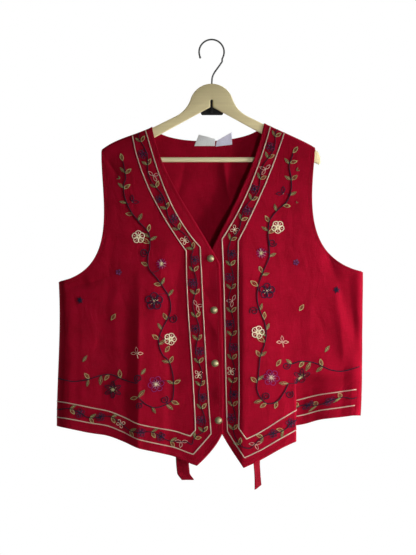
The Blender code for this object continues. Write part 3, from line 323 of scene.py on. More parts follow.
@dataclass(frozen=True)
class VestForm:
    """The forms of the three panels, as offsets from the plane of their seams."""

    cloth: float = 0.0013
    seam_gap: float = 0.0003
    roll: float = 0.014
    arch: float = 0.009
    arch_power: float = 3.5
    crown: float = 0.45
    half_width: float = 0.31
    placket_lift: float = 0.0011
    placket_middle: float = 0.006
    placket_reach: float = 0.085
    placket_ease: float = 0.045
    fold_x: float = 0.166
    fold_head: float = -0.676
    fold_strip: float = 0.014
    fold_growth: float = 0.42
    fold_turn: float = 3.0
    fold_onset: float = 0.036
    fold_radius: float = 0.0028
    fold_steps: int = 60
    fold_return: float = 0.75
    fold_return_reach: float = 0.09
    crest: float = 0.0022
    button_heights: tuple[float, ...] = (-0.774, -0.658, -0.55, -0.445)
    gape_lift: float = 0.0026
    gape_start: float = -0.006
    gape_run: float = 0.024

    def shoulder_height(self, x: Array) -> Array:
        """The height of the shoulder seams at x, run on past both their ends."""
        right = along(RIGHT_SHOULDER, shares_of(60))
        left = along(LEFT_SHOULDER, shares_of(60))
        line = np.vstack(((-0.4, -0.311), right, (-0.012, -0.12), left, (0.4, -0.314)))
        return np.interp(x, line[:, 0], line[:, 1])

    def wrap(self, z: Array) -> Array:
        """How far the back wraps forward round the left side."""
        return np.interp(z, WRAP[:, 0], WRAP[:, 1])

    def left_limit(self, z: Array) -> Array:
        """x where the cloth turns at the right side seam."""
        return line_at(RIGHT_SIDE, z)

    def right_limit(self, z: Array) -> Array:
        """x where the cloth turns at the left side."""
        return line_at(LEFT_SIDE, z) + self.wrap(z)

    def beside(self, x: Array, z: Array, row: Array) -> tuple[Array, Array]:
        """Each place's share of the way from a ridge's head to its foot, and its distance off it."""
        run_x, run_z = row[2] - row[0], row[3] - row[1]
        length = math.hypot(run_x, run_z)
        share = ((x - row[0]) * run_x + (z - row[1]) * run_z) / length ** 2
        return share, ((x - row[0]) * run_z - (z - row[1]) * run_x) / length

    def folds(self, x: Array, z: Array, table: Array) -> Array:
        """The sum of soft ridges: a bell across each line, faded in at its head and out at its foot."""
        total = np.zeros(np.broadcast(x, z).shape)
        for row in table:
            share, off = self.beside(x, z, row)
            fade = smooth(share / 0.4 + 0.25) * smooth((1.25 - share) / 0.25)
            total += row[5] * np.exp(-(off / row[4]) ** 2) * fade
        return total

    def creases(self, x: Array, z: Array, table: Array) -> Array:
        """The sum of sharper creases: the exponential of minus the softened distance over the width
        on that side, faded in at the head and out at the foot."""
        total = np.zeros(np.broadcast(x, z).shape)
        for row in table:
            share, off = self.beside(x, z, row)
            left, right, height = row[4:]
            width = right + (left - right) * smooth(off / self.crest + 0.5)
            soft = np.sqrt(off ** 2 + self.crest ** 2) - self.crest
            fade = smooth(share / 0.5 + 0.3) * smooth((1.3 - share) / 0.5)
            total += height * np.exp(-soft / width) * fade
        return total

    def hem_wave(self, x: Array, z: Array, table: Array) -> Array:
        """How far the cloth is drawn up near a hem: a smooth line through the table's heights, eased
        out above the hem's band."""
        line = rounded_line(table, 3 * MM)
        return np.interp(x, line[:, 0], line[:, 1]) * smooth((-0.68 - z) / 0.11)

    def gape(self, x: Array, z: Array) -> Array:
        """How far the right front's edge lifts between the buttons: the squared sine of the share of
        the way from one button to the next, rising over the last stretch of cloth."""
        low = self.button_heights[0]
        share = np.interp(z, self.button_heights, np.arange(len(self.button_heights)))
        lift = np.sin(math.pi * share) ** 2
        lift = np.where(z < low, 0.8 * smooth((low - z) / 0.05), lift)
        return self.gape_lift * lift * smooth((x - self.gape_start) / self.gape_run)

    def standing(self, z: Array, column: int) -> Array:
        """How far a face stands off the seams at each height, read between the table's rows."""
        return np.interp(z, STANDING[:, 0], STANDING[:, column])

    def front_out(self, x: Array, z: Array) -> Array:
        """The fronts' offset: the standing times a crown that falls towards the sides, plus folds."""
        least = STANDING[-1][1]
        crown = 1 - self.crown * (x / self.half_width) ** 2
        creased = self.folds(x, z, FRONT_FOLDS) + self.creases(x, z, FRONT_CREASES)
        return least + (self.standing(z, 1) - least) * crown + creased

    def side_factor(self, x: Array, z: Array) -> Array:
        """A quarter circle: 1 on the flat, 0 at the two side limits."""
        inside = np.minimum(x - self.left_limit(z), self.right_limit(z) - x) / self.roll
        return np.sqrt(1 - (1 - np.clip(inside, 0, 1)) ** 2)

    def over_shoulder(self, x: Array, z: Array) -> Array:
        """A squarish arch: 0 on the shoulder seam, 1 one arch below it."""
        drop = np.clip((self.shoulder_height(x) - z) / self.arch, 0, 1)
        return (1 - (1 - drop) ** self.arch_power) ** (1 / self.arch_power)

    def placket(self, x: Array) -> Array:
        """How far the lapping fronts part either side of their common face."""
        return self.placket_lift * smooth(
            (self.placket_reach - np.abs(x - self.placket_middle)) / self.placket_ease)

    def fold_length(self, z: Array) -> Array:
        """The width of the folded strip, which grows below the fold's head."""
        return self.fold_strip + self.fold_growth * np.clip(self.fold_head - z, 0, None)

    def fold_section(self, share: Array, z: Array) -> tuple[Array, Array]:
        """The run across and the depth at a share of the strip.

        The strip's angle rises to its full turn, stays and comes back, so the run is the sum of its
        cosine and the depth the sum of its sine.
        """
        share, z = np.broadcast_arrays(np.asarray(share, float), np.asarray(z, float))
        turn = self.fold_turn * smooth((self.fold_head - z) / self.fold_onset)
        bend = np.clip(2 * self.fold_radius * turn / self.fold_length(z), 0.05, 0.5)
        steps = (np.arange(self.fold_steps) + 0.5) / self.fold_steps
        rise = smooth(steps / bend[..., None]) * smooth((1 - steps) / bend[..., None])
        angle = turn[..., None] * rise
        counted = np.clip(share[..., None] * self.fold_steps - np.arange(self.fold_steps), 0, 1)
        step = self.fold_length(z) / self.fold_steps
        return (np.cos(angle) * counted).sum(-1) * step, (np.sin(angle) * counted).sum(-1) * step

    def fold_depth(self, x: Array, z: Array) -> Array:
        """How much deeper the cloth past the fold lies, easing off towards the side seam."""
        deep = self.fold_section(np.ones_like(x), z)[1]
        past = (x - self.fold_x - self.fold_strip) / self.fold_return_reach
        return deep * (1 - self.fold_return * smooth(past))

    def swallowed(self, z: Array) -> Array:
        """The width that the deep fold takes up."""
        return self.fold_length(z) - self.fold_section(np.ones_like(z), z)[0]

    def front_y(self, x: Array, z: Array, deeper: Array | float) -> Array:
        """The fronts' common face: the offset less the fold's depth, rounded at sides and shoulder."""
        flat = -(self.front_out(x, z) - deeper) * self.side_factor(x, z)
        return -self.seam_gap / 2 + (flat + self.seam_gap / 2) * self.over_shoulder(x, z)

    def right_front(self, p: Array, z: Array) -> Array:
        """The right front: the common face, lifted forward along the placket."""
        y = self.front_y(p, z, 0.0) - self.placket(p) - self.gape(p, z)
        return joined(p, y, z + self.hem_wave(p, z, RIGHT_HEM_WAVE))

    def left_front(self, p: Array, z: Array) -> Array:
        """The left front: the common face, set back along the placket and run through the fold."""
        past = np.clip(p - self.fold_x, 0, None)
        length = self.fold_length(z)
        across, deep = self.fold_section(np.clip(past / length, 0, 1), z)
        x = np.where(p < self.fold_x, p, self.fold_x + across + np.clip(past - length, 0, None))
        deep = np.where(past > length, self.fold_depth(x, z), deep)
        y = self.front_y(x, z, deep) + self.placket(x)
        return joined(x, y, z + self.hem_wave(x, z, LEFT_HEM_WAVE))

    def back(self, p: Array, z: Array) -> Array:
        """The back: its own offset, then a quarter circle forward past the left limit."""
        limit = self.right_limit(z)
        angle = np.clip(p - limit, 0, None) / self.roll
        x = np.where(p > limit, limit - self.roll * (1 - np.cos(angle)), p)
        out = self.standing(z, 2) + self.folds(x, z, BACK_FOLDS) + self.creases(x, z, BACK_CREASES)
        flat = out * self.side_factor(x, z)
        y = self.seam_gap / 2 + (flat - self.seam_gap / 2) * self.over_shoulder(x, z)
        round_front = -(self.front_out(x, z) - self.fold_depth(x, z)) * np.sin(angle)
        return joined(x, np.where(p > limit, round_front, y), z)

    def left_place(self, places: Array) -> Array:
        """Turns places seen on the left front into places across its cloth, past the fold too."""
        past = places[:, 0] > self.fold_x + 1 * MM
        wider = np.where(past, places[:, 0] + self.swallowed(places[:, 1]), places[:, 0])
        return joined(wider, places[:, 1])


FORM = VestForm()


class Shader:
    """A Principled material, and short calls that add nodes to it."""

    def __init__(self, name: str, roughness: float, metallic: float, specular: float) -> None:
        """Starts the material with its plain values set on the shader's own sockets."""
        self.material = bpy.data.materials.new(name)
        self.material.use_nodes = True
        self.tree = self.material.node_tree
        self.main = self.tree.nodes["Principled BSDF"]
        self.set(**{"Roughness": roughness, "Metallic": metallic, "Specular IOR Level": specular})

    def set(self, **values: object) -> None:
        """Sets plain values on the shader's own sockets."""
        for name, value in values.items():
            self.main.inputs[name].default_value = value

    def add(self, kind: str, values: dict, **settings: object) -> bpy.types.Node:
        """Adds a node, sets its properties and fills or links its inputs.

        Args:
            kind: the node's type name.
            values: input name or number to a value or to another node's output.
            settings: the node's own properties.
        Returns:
            The node.
        """
        node = self.tree.nodes.new(kind)
        for key, value in settings.items():
            setattr(node, key, value)
        for key, value in values.items():
            if isinstance(value, Socket):
                self.tree.links.new(value, node.inputs[key])
            else:
                node.inputs[key].default_value = value
        return node

    def places(self, source: str, scale: Place = (1, 1, 1)) -> Socket:
        """Object or UV coordinates, scaled."""
        found = self.add("ShaderNodeTexCoord", {}).outputs[source]
        return self.add("ShaderNodeMapping", {"Vector": found, "Scale": scale}).outputs["Vector"]

    def noise(self, vector: Socket, scale: float, detail: float = 3.0, bend: float = 0.0) -> Socket:
        """Cloudy noise from 0 to 1."""
        return self.add("ShaderNodeTexNoise", {"Vector": vector, "Scale": scale, "Detail": detail,
                                               "Distortion": bend}).outputs["Fac"]

    def maths(self, operation: str, *values: object) -> Socket:
        """One Math node's result."""
        return self.add("ShaderNodeMath", dict(enumerate(values)), operation=operation).outputs[0]

    def summed(self, *terms: tuple) -> Socket:
        """The sum of values, each times its weight."""
        total = self.maths("MULTIPLY", *terms[0])
        for term in terms[1:]:
            total = self.maths("MULTIPLY_ADD", *term, total)
        return total

    def axes(self) -> Sequence[Socket]:
        """The UV place's u and v, each on its own."""
        return self.add("ShaderNodeSeparateXYZ", {0: self.places("UV")}).outputs

    def ranged(self, value: Socket, low: float, high: float, to_low: float = 0.0,
               to_high: float = 1.0) -> Socket:
        """A value moved from one range to another, held at its ends."""
        return self.add("ShaderNodeMapRange", {1: low, 2: high, 3: to_low, 4: to_high,
                                               0: value}).outputs["Result"]

    def blend(self, share: Socket, first: Colour, second: Colour) -> Socket:
        """A colour between two colours."""
        values = {0: share, 6: (*first, 1.0), 7: (*second, 1.0)}
        return self.add("ShaderNodeMix", values, data_type="RGBA").outputs[2]

    def weave(self, vector: Socket, pitch: float) -> Socket:
        """Crossing threads: the sine across times the sine up, each one thread wide."""
        apart = self.add("ShaderNodeSeparateXYZ", {0: vector}).outputs
        return self.maths("MULTIPLY", *(self.maths("SINE", self.maths(
            "MULTIPLY", apart[k], math.pi / pitch)) for k in (0, 1)))

    def finish(self, colour: Socket, height: Socket, distance: float, strength: float) -> Material:
        """Links the colour and a bump of the height, and gives the material back."""
        self.tree.links.new(colour, self.main.inputs["Base Color"])
        bump = self.add("ShaderNodeBump", {"Height": height, "Distance": distance, "Strength": strength})
        self.tree.links.new(bump.outputs["Normal"], self.main.inputs["Normal"])
        return self.material


@dataclass(frozen=True)
class ClothFinish:
    """Plain woven cotton with slubs and faint mottling, on the panel's own places."""

    name: str
    deep: Colour
    light: Colour
    pitch: float = 0.55 * MM
    roughness: float = 0.88
    rumples: float = 15.0

    def material(self) -> Material:
        """Mottling and slubs colour the cloth, and the weave, the slubs and soft rumples raise it."""
        shader = Shader(self.name, self.roughness, 0.0, 0.06)
        shader.set(**{"Sheen Weight": 0.04, "Sheen Roughness": 0.6, "Sheen Tint": (0.9, 0.12, 0.18, 1)})
        flat = shader.places("UV")
        cloud = shader.noise(flat, 28.0, 3.0)
        fleck = shader.noise(flat, 420.0, 2.0)
        warp, weft = (shader.noise(shader.places("UV", (*scale, 1)), 1.0, 2.0)
                      for scale in ((900, 60), (60, 900)))
        slub = shader.summed((warp, 0.5), (weft, 0.5))
        weave = shader.weave(flat, self.pitch)
        share = shader.summed((cloud, 0.45), (fleck, 0.3), (slub, 0.65), (weave, 0.06))
        colour = shader.blend(shader.ranged(share, 0.45, 0.95), self.deep, self.light)
        rumple = shader.noise(shader.places("UV", (1, 0.5, 1)), 34.0, 3.0, 0.6)
        height = shader.summed((weave, 0.35), (slub, 1.0), (rumple, self.rumples))
        return shader.finish(colour, height, 0.3 * MM, 0.6)


@dataclass(frozen=True)
class ThreadFinish:
    """Embroidery thread with a soft lustre; u runs along it and v round it."""

    name: str
    colour: Colour
    roughness: float = 0.55
    twist: float = 1.3 * MM

    def material(self) -> Material:
        """Slanting ridges, one turn to each twist, raise the thread and paint shade in their grooves and
        highlight on their crests.
        """
        shader = Shader(self.name, self.roughness, 0.0, 0.25)
        u, v, _ = shader.axes()
        slant = shader.summed((u, 1 / self.twist), (v, 1.0))
        ridge = shader.maths("SINE", shader.maths("MULTIPLY", slant, 4 * math.pi))
        cloud = shader.noise(shader.places("Object"), 240.0, 2.0)
        share = shader.summed((ridge, 0.14), (shader.ranged(cloud, 0.35, 0.65, 0.25, 0.75), 1.0))
        # dark and light: the twist's painted shade and painted highlight, broken up by cloudy tone.
        dark = tuple(c * 0.72 for c in self.colour)
        light = tuple(min(1.0, c * 1.22) for c in self.colour)
        return shader.finish(shader.blend(share, dark, light), ridge, 0.12 * MM, 0.6)


@dataclass(frozen=True)
class CordFinish:
    """A narrow plaited cord; u runs along it and v round it."""

    name: str
    colour: Colour
    pitch: float = 1.9 * MM

    def material(self) -> Material:
        """Plaits: slanting ridges mirrored about the cord's middle, with painted shade darker in the gaps.
        """
        shader = Shader(self.name, 0.7, 0.0, 0.2)
        u, v, _ = shader.axes()
        middle = shader.maths("ABSOLUTE", shader.maths("SUBTRACT", v, 0.25))
        slant = shader.summed((u, 1 / self.pitch), (middle, 3.0))
        ridge = shader.maths("SINE", shader.maths("MULTIPLY", slant, 2 * math.pi))
        cloud = shader.noise(shader.places("Object"), 60.0, 2.0)
        share = shader.ranged(shader.summed((ridge, 1.0), (cloud, 2.0)), -0.5, 2.4)
        # The dark colour is painted shade in the plaits' gaps, mixed with cloudy tone.
        dark = tuple(c * 0.62 for c in self.colour)
        return shader.finish(shader.blend(share, dark, self.colour), ridge, 0.2 * MM, 0.7)


@dataclass(frozen=True)
class WoodFinish:
    """Pale varnished wood with its grain along each arm."""

    name: str
    pale: Colour
    dark: Colour
    slope: float = 0.49
    mirrored: bool = True

    def material(self) -> Material:
        """Long streaks and rings, drawn on |x| so that both arms match, turned to their slope."""
        shader = Shader(self.name, 0.42, 0.0, 0.35)
        shader.set(**{"Coat Weight": 0.12, "Coat Roughness": 0.25})
        places = shader.places("Object")
        if self.mirrored:
            x, y, z = shader.add("ShaderNodeSeparateXYZ", {0: places}).outputs
            both = {0: shader.maths("ABSOLUTE", x), 1: y, 2: z}
            places = shader.add("ShaderNodeCombineXYZ", both).outputs[0]
        streak, ring = (shader.noise(shader.add("ShaderNodeMapping", {
            "Vector": places, "Rotation": (0, -self.slope, 0), "Scale": scale}).outputs[0], 1.0, *kind)
            for scale, kind in (((5, 120, 120), (5.0, 0.6)), ((2, 26, 26), (3.0, 1.2))))
        share = shader.ranged(shader.summed((streak, 0.55), (ring, 0.6)), 0.4, 0.75)
        return shader.finish(shader.blend(share, self.pale, self.dark), streak, 0.1 * MM, 0.35)


@dataclass(frozen=True)
class HardFinish:
    """Metal, plastic or lacquer with fine marks and a little wear."""

    name: str
    deep: Colour
    light: Colour
    roughness: float
    metallic: float
    scale: float = 90.0
    grain: Colour = (1, 1, 1)

    def material(self) -> Material:
        """Noise stretched by the grain mixes the two colours and roughens the face."""
        shader = Shader(self.name, self.roughness, self.metallic, 0.4)
        cloud = shader.noise(shader.places("Object", self.grain), self.scale, 4.0)
        rough = shader.ranged(cloud, 0.3, 0.7, self.roughness * 0.8, min(1.0, self.roughness * 1.25))
        shader.tree.links.new(rough, shader.main.inputs["Roughness"])
        colour = shader.blend(shader.ranged(cloud, 0.35, 0.65), self.deep, self.light)
        return shader.finish(colour, cloud, 0.04 * MM, 0.3)


@dataclass(frozen=True)
class ButtonFinish:
    """Dulled brass; u runs from the foot of the button's profile to its crown."""

    name: str
    dark: Colour
    light: Colour

    def material(self) -> Material:
        """Painted shade darkens the rim's groove and the foot, painted highlight lightens the rim's bead
        and the crown, and cloudy tarnish mottles it all.
        """
        shader = Shader(self.name, 0.5, 0.55, 0.4)
        u = shader.axes()[0]
        cloud = shader.noise(shader.places("Object"), 330.0, 4.0)
        # Painted light: the bead and the crown take the light colour, the groove and the foot the dark one
        # as painted shade.
        off_bead = shader.maths("ABSOLUTE", shader.maths("SUBTRACT", u, 0.33))
        bright = shader.maths("MAXIMUM", shader.ranged(u, 0.5, 0.8),
                              shader.ranged(off_bead, 0.0, 0.1, 0.75, 0.0))
        share = shader.maths("MULTIPLY", bright, shader.ranged(cloud, 0.3, 0.62, 0.35, 1.0))
        return shader.finish(shader.blend(share, self.dark, self.light), cloud, 0.06 * MM, 0.4)


# The ties' cloth: the same crimson cotton in darker colours, painted shade for ties that hang in the shade
# behind the hem.
SHADED_CRIMSON = ClothFinish("tie_cotton_painted_shade", (0.13, 0.0006, 0.006), (0.22, 0.0012, 0.012))
CRIMSON = ClothFinish("crimson_cotton", (0.2, 0.0006, 0.0085), (0.35, 0.0018, 0.02))
THREADS = {name: ThreadFinish(f"{name}_thread", *values) for name, values in {
    "vine": ((0.01, 0.003, 0.018), 0.85), "leaf": ((0.43, 0.37, 0.15),), "moss": ((0.15, 0.165, 0.06),),
    "green": ((0.09, 0.15, 0.045),), "cream": ((0.88, 0.71, 0.52),), "pink": ((0.62, 0.36, 0.3),),
    "yellow": ((0.6, 0.52, 0.27),), "violet": ((0.2, 0.008, 0.125),), "plum": ((0.055, 0.002, 0.028),),
    "navy": ((0.009, 0.003, 0.026), 0.8)}.items()}
SEWING = ThreadFinish("sewing_thread", (0.23, 0.002, 0.012), 0.7, 0.6 * MM)
CORD = CordFinish("cream_cord", (0.68, 0.5, 0.4))
WOOD = WoodFinish("hanger_beech", (1.0, 0.86, 0.49), (0.84, 0.7, 0.37))
BAR_WOOD = WoodFinish("bar_beech", (0.9, 0.79, 0.48), (0.78, 0.66, 0.38), 0.0, False)
STEEL = HardFinish("steel_wire", (0.13, 0.134, 0.132), (0.17, 0.174, 0.172), 0.45, 0.15, 60.0)
# The dark colour is mostly painted shade in the rim's groove and at the foot, the light one painted
# highlight on the bead and crown.
BRASS = ButtonFinish("antique_brass", (0.11, 0.085, 0.036), (0.5, 0.45, 0.24))
BLACK = HardFinish("black_plastic", (0.001, 0.001, 0.0012), (0.0025, 0.0025, 0.003), 0.6, 0.0, 400.0)
WHITE_RIBBON = ClothFinish("white_ribbon", (0.62, 0.63, 0.62), (0.84, 0.85, 0.84), 0.4 * MM, 0.6)
LILAC_RIBBON = ClothFinish("lilac_ribbon", (0.56, 0.54, 0.66), (0.78, 0.76, 0.9), 0.4 * MM, 0.6)


def make_object(name: str, points: Array, faces: Iterable[Array], finish: Material,
                uv: Optional[Array] = None, sharp_degrees: float = 180.0) -> Piece:
    """Puts whole arrays of points and faces into a new mesh object.

    Args:
        name: the piece's name.
        points: an array of any shape whose rows are points.
        faces: arrays of corner numbers, each array with its own number of corners to a face.
        finish: the material.
        uv: one place for each point, if the finish reads them.
        sharp_degrees: edges that turn more than this stay sharp.
    Returns:
        The object, linked to the scene.
    """
    faces = [np.asarray(f, np.int32) for f in faces]
    corners = np.concatenate([f.ravel() for f in faces])
    counts = np.concatenate([np.full(len(f), f.shape[1], np.int32) for f in faces])
    mesh = bpy.data.meshes.new(name)
    mesh.vertices.add(points.size // 3)
    mesh.vertices.foreach_set("co", np.asarray(points, np.float32).ravel())
    mesh.loops.add(len(corners))
    mesh.loops.foreach_set("vertex_index", corners)
    mesh.polygons.add(len(counts))
    mesh.polygons.foreach_set("loop_start", np.r_[0, np.cumsum(counts)[:-1]].astype(np.int32))
    mesh.update(calc_edges=True)
    if uv is not None:
        layer = mesh.uv_layers.new(name="UVMap")
        layer.data.foreach_set("uv", np.asarray(uv.reshape(-1, 2), np.float32)[corners].ravel())
    mesh.shade_smooth()
    if sharp_degrees < 180.0:
        mesh.set_sharp_from_angle(angle=math.radians(sharp_degrees))
    mesh.materials.append(finish)
    obj = bpy.data.objects.new(name, mesh)
    bpy.context.collection.objects.link(obj)
    return obj


def ring_faces(rings: int, sides: int) -> Array:
    """Quads that join each ring of points to the next."""
    a = np.arange((rings - 1) * sides).reshape(-1, sides)
    b = np.roll(a, -1, axis=1)
    return joined(a, b, b + sides, a + sides).reshape(-1, 4)


def grid_faces(rows: int, columns: int) -> Array:
    """Quads that join each row of points to the next."""
    index = np.arange(rows * columns).reshape(rows, columns)
    quads = (index[:-1, :-1], index[:-1, 1:], index[1:, 1:], index[1:, :-1])
    return np.stack(quads, -1).reshape(-1, 4)


def finish_piece(obj: Piece, slot: str, *nodes: str) -> None:
    """Lets a piece ride on the body and hides the nodes that it stands for."""
    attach(obj, "root")
    if nodes:
        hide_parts(*nodes)
    LOG.info("%s: %d faces", obj.name, len(obj.data.polygons))


def rings_along(centre: Array, aside: Array, up: Array, section: Array) -> Array:
    """A section carried along a line: its points' first places go aside and their second ones up."""
    return centre[:, None] + aside[:, None] * section[..., :1] + up[:, None] * section[..., 1:]


def grid_normals(grid: Array) -> Array:
    """Unit normals of a grid with rows going up and columns towards +X, facing -Y."""
    return unit(np.cross(np.gradient(grid, axis=1), np.gradient(grid, axis=0)))


def grid_area(grid: Array) -> float:
    """The area of a grid: half the cross products of each cell's diagonals, summed."""
    first = grid[1:, 1:] - grid[:-1, :-1]
    second = grid[1:, :-1] - grid[:-1, 1:]
    return float(np.linalg.norm(np.cross(first, second), axis=-1).sum() / 2)


def sheet_mesh(name: str, grid: Array, normals: Array, places: Array, thickness: float,
               finish: Material, bulge: float = 0.42) -> Piece:
    """A cloth wall under a grid, with its rim rounded by one ring pushed out between its faces.

    Args:
        name: the piece's name.
        grid: the outer face's points, rows going up and columns towards +X.
        normals: outward unit normals of the grid.
        places: the UV place of each point.
        thickness: the wall's thickness.
        finish: the material.
        bulge: how far the middle ring stands out, in thicknesses.
    Returns:
        The object.
    """
    rows, columns = grid.shape[:2]
    count = rows * columns
    index = np.arange(count).reshape(rows, columns)
    quads = grid_faces(rows, columns)
    ring = np.concatenate((index[0, :-1], index[:-1, -1], index[-1, :0:-1], index[:0:-1, 0]))
    outer = grid.reshape(-1, 3)
    facing = normals.reshape(-1, 3)
    inner = outer - facing * thickness
    facing_front = grid_normals(grid).reshape(-1, 3)
    run = unit(np.roll(outer[ring], -1, 0) - np.roll(outer[ring], 1, 0))
    aside = unit(np.cross(run, facing_front[ring]))
    middle = outer[ring] - facing[ring] * thickness / 2 + aside * thickness * bulge
    number = 2 * count + np.arange(len(ring))
    following, next_number = np.roll(ring, -1), np.roll(number, -1)
    rim = np.vstack((joined(ring, number, next_number, following),
                     joined(number, ring + count, following + count, next_number)))
    faces = np.vstack((quads, quads[:, ::-1] + count, rim))
    if np.sum(facing * facing_front) < 0:
        faces = faces[:, ::-1]
    points = np.vstack((outer, inner, middle))
    flat = places.reshape(-1, 2)
    return make_object(name, points, [faces], finish, np.vstack((flat, flat, flat[ring])))


class Placement:
    """Finds points and normals on one panel at places across and up."""

    def __init__(self, surface: Callable[[Array, Array], Array], facing_back: bool = False) -> None:
        """Keeps the panel's surface function and which way it faces."""
        self.surface = surface
        self.sign = -1.0 if facing_back else 1.0

    def at(self, places: Array) -> tuple[Array, Array]:
        """The point at each place, and the normal from the slopes half a millimetre either way."""
        p, z = places[:, 0], places[:, 1]
        small = 0.5 * MM
        side = self.surface(p + small, z) - self.surface(p - small, z)
        up = self.surface(p, z + small) - self.surface(p, z - small)
        return self.surface(p, z), self.sign * unit(np.cross(side, up))


@dataclass
class Stroke:
    """One length of thread on a panel."""

    points: Array
    radius: float = 0.5 * MM
    closed: bool = False


class ThreadWork:
    """Gathers strokes by colour and lays each colour as one piece of thin round threads."""

    def __init__(self, placement: Placement, step: float = 1.4 * MM, sides: int = 5) -> None:
        """Keeps where the threads lie and how finely they are drawn."""
        self.placement = placement
        self.step = step
        self.sides = sides
        self.strokes: dict[str, list[Stroke]] = {}

    def add(self, colour: str, points: Array, radius: float = 0.5 * MM, closed: bool = False) -> None:
        """Adds one stroke of a colour."""
        self.strokes.setdefault(colour, []).append(Stroke(np.asarray(points, float), radius, closed))

    def lay(self, name: str, strokes: list[Stroke], finish: Material, lift: float = 0.1 * MM) -> Piece:
        """Tubes along all strokes at once: a ring of points at each sample, set across its run.

        Args:
            name: the piece's name.
            strokes: the lengths of thread.
            finish: the material.
            lift: how far a thread's underside stands off the cloth.
        Returns:
            The object.
        """
        lines = [resampled(s.points, self.step) for s in strokes]
        sizes = np.array([len(line) for line in lines])
        ends = np.cumsum(sizes)
        starts = ends - sizes
        places = np.vstack(lines)
        radius = np.repeat([s.radius for s in strokes], sizes)
        tapered = np.array([not s.closed for s in strokes])
        radius[starts[tapered]] *= 0.55
        radius[ends[tapered] - 1] *= 0.55
        base, normal = self.placement.at(places)
        centre = base + normal * (radius * 0.6 + lift)[:, None]
        ahead = np.roll(centre, -1, 0) - centre
        ahead[ends - 1] = 0
        behind = centre - np.roll(centre, 1, 0)
        behind[starts] = 0
        run = unit(unit(ahead) + unit(behind))
        section = radius[:, None, None] * circle(around(self.sides)) * (1, 0.8)
        rings = rings_along(centre, unit(np.cross(run, normal)), normal, section)
        length = np.concatenate([travelled(line) for line in lines])
        uv = joined(length[:, None], np.arange(self.sides) / self.sides)
        joins = np.setdiff1d(np.arange(len(places)), ends - 1)
        corner = np.arange(self.sides)
        a = joins[:, None] * self.sides + corner
        b = joins[:, None] * self.sides + np.roll(corner, -1)
        quads = joined(a, a + self.sides, b + self.sides, b).reshape(-1, 4)
        caps = np.vstack((starts[:, None] * self.sides + corner,
                          (ends - 1)[:, None] * self.sides + corner[::-1]))
        return make_object(name, rings, [quads, caps], finish, uv)

    def build(self, side: str, materials: dict[str, Material]) -> list[Piece]:
        """One piece for each colour that has strokes."""
        return [self.lay(f"{side}_{colour}_stitches", strokes, materials[colour])
                for colour, strokes in self.strokes.items()]


def dashes(line: Array, stitch: float, gap: float) -> list[Stroke]:
    """Cuts a line into even stitches with gaps between them."""
    length = travelled(line)
    cuts = [begin + np.array((0, 0.5, 1)) * stitch
            for begin in np.arange(gap, length[-1] - stitch, stitch + gap)]
    return [Stroke(np.stack([np.interp(cut, length, line[:, k]) for k in (0, 1)], -1), 0.24 * MM)
            for cut in cuts]


def inset(line: Array, distance: float) -> Array:
    """A line moved sideways, to the left of its run, by a distance."""
    return line + distance * leftward(unit(np.gradient(line, axis=0)))


class Motif(Enum):
    """What stands at one step of a band, by its letter in the band's run."""

    LEAVES = "l"
    PLUM = "p"
    PINK = "k"
    NAVY = "n"
    CREAM = "c"


class Leaf(Enum):
    """How a leaf is worked."""

    OPEN = 0
    FILLED = 1
    BRIGHT = 2


class Flower(Enum):
    """The motifs strewn on the chest."""

    ROSE = "rose"
    DAISY = "daisy"
    BLUE = "blue"
    VIOLET = "violet"
    STAR = "star"
    BELL = "bell"
    SPIRAL = "spiral"
    CROSS = "cross"
    DOT = "dot"
    TWINKLE = "twinkle"
    SHOOT = "shoot"


# What a motif is worked of, in order. Petals: colour, count, length, width, start, turn, thread's
# radius in millimetres, fullness of the tip and any fill. Rays: colour, count, start, end, turn,
# thread's radius. Knot: colour, radius. Lengths are shares of a flower's radius, and are millimetres
# in a band.
WORKED = {
    Flower.ROSE: (("cream", 5, 0.86, 0.86, 0.14, 0, 0.86, 1.55), ("yellow", 10, 0.1, 0.6, 0, 0.62),
                  ("cream", 5, 0.3, 0.8, 0, 0.55), ("yellow", 1.4)),
    Flower.DAISY: (("violet", 13, 0.36, 1, 0, 0.72), ("pink", 8, 0.3, 0.84, 12, 0.55),
                   ("yellow", 8, 0, 0.4, 0, 0.62)),
    Flower.BLUE: (("navy", 5, 0.86, 0.78, 0.14, 18, 1.06, 1.6), ("navy", 5, 0.42, 0.72, 26, 0.66),
                  ("yellow", 7, 0.08, 0.52, 18, 0.5), ("cream", 4, 0, 0.3, 54, 0.44)),
    Flower.VIOLET: (("violet", 6, 0.76, 0.66, 0.28, 0, 0.72, 1.55), ("violet", 6, 0.4, 0.7, 0, 0.5),
                    ("pink", 10, 0.22, 0.58, 0, 0.52), ("cream", 7, 0, 0.36, 30, 0.6)),
    Flower.STAR: (("vine", 6, 0.86, 0.46, 0.24, 90, 0.9, 0.9), ("plum", 6, 0.4, 0.8, 90, 0.55),
                  ("leaf", 7, 0.05, 0.52, 90, 0.56), ("yellow", 7, 0, 0.3, 64, 0.5)),
    Flower.DOT: (("plum", 5, 0.84, 0.72, 0.15, 0, 0.55, 1.4, "violet"),),
    Flower.TWINKLE: (("navy", 6, 0, 1, 15, 0.95), ("vine", 6, 0, 0.7, 45, 0.8)),
    Motif.PLUM: (("plum", 5, 8.6, 7.2, 1.4, 0, 0.8, 1.5), ("violet", 5, 3, 7, 8, 0.44),
                 ("navy", 3, 0, 3.6, 40, 0.62)),
    Motif.NAVY: (("plum", 5, 7.4, 6.4, 1.8, 0, 0.74, 1.5), ("navy", 5, 0, 4.6, 36, 0.84),
                 ("navy", 5, 5.6, 9.2, 8, 0.6)),
}
# Flowers that stand without a stalk
LONE = (Flower.CROSS, Flower.DOT, Flower.TWINKLE, Flower.SHOOT)
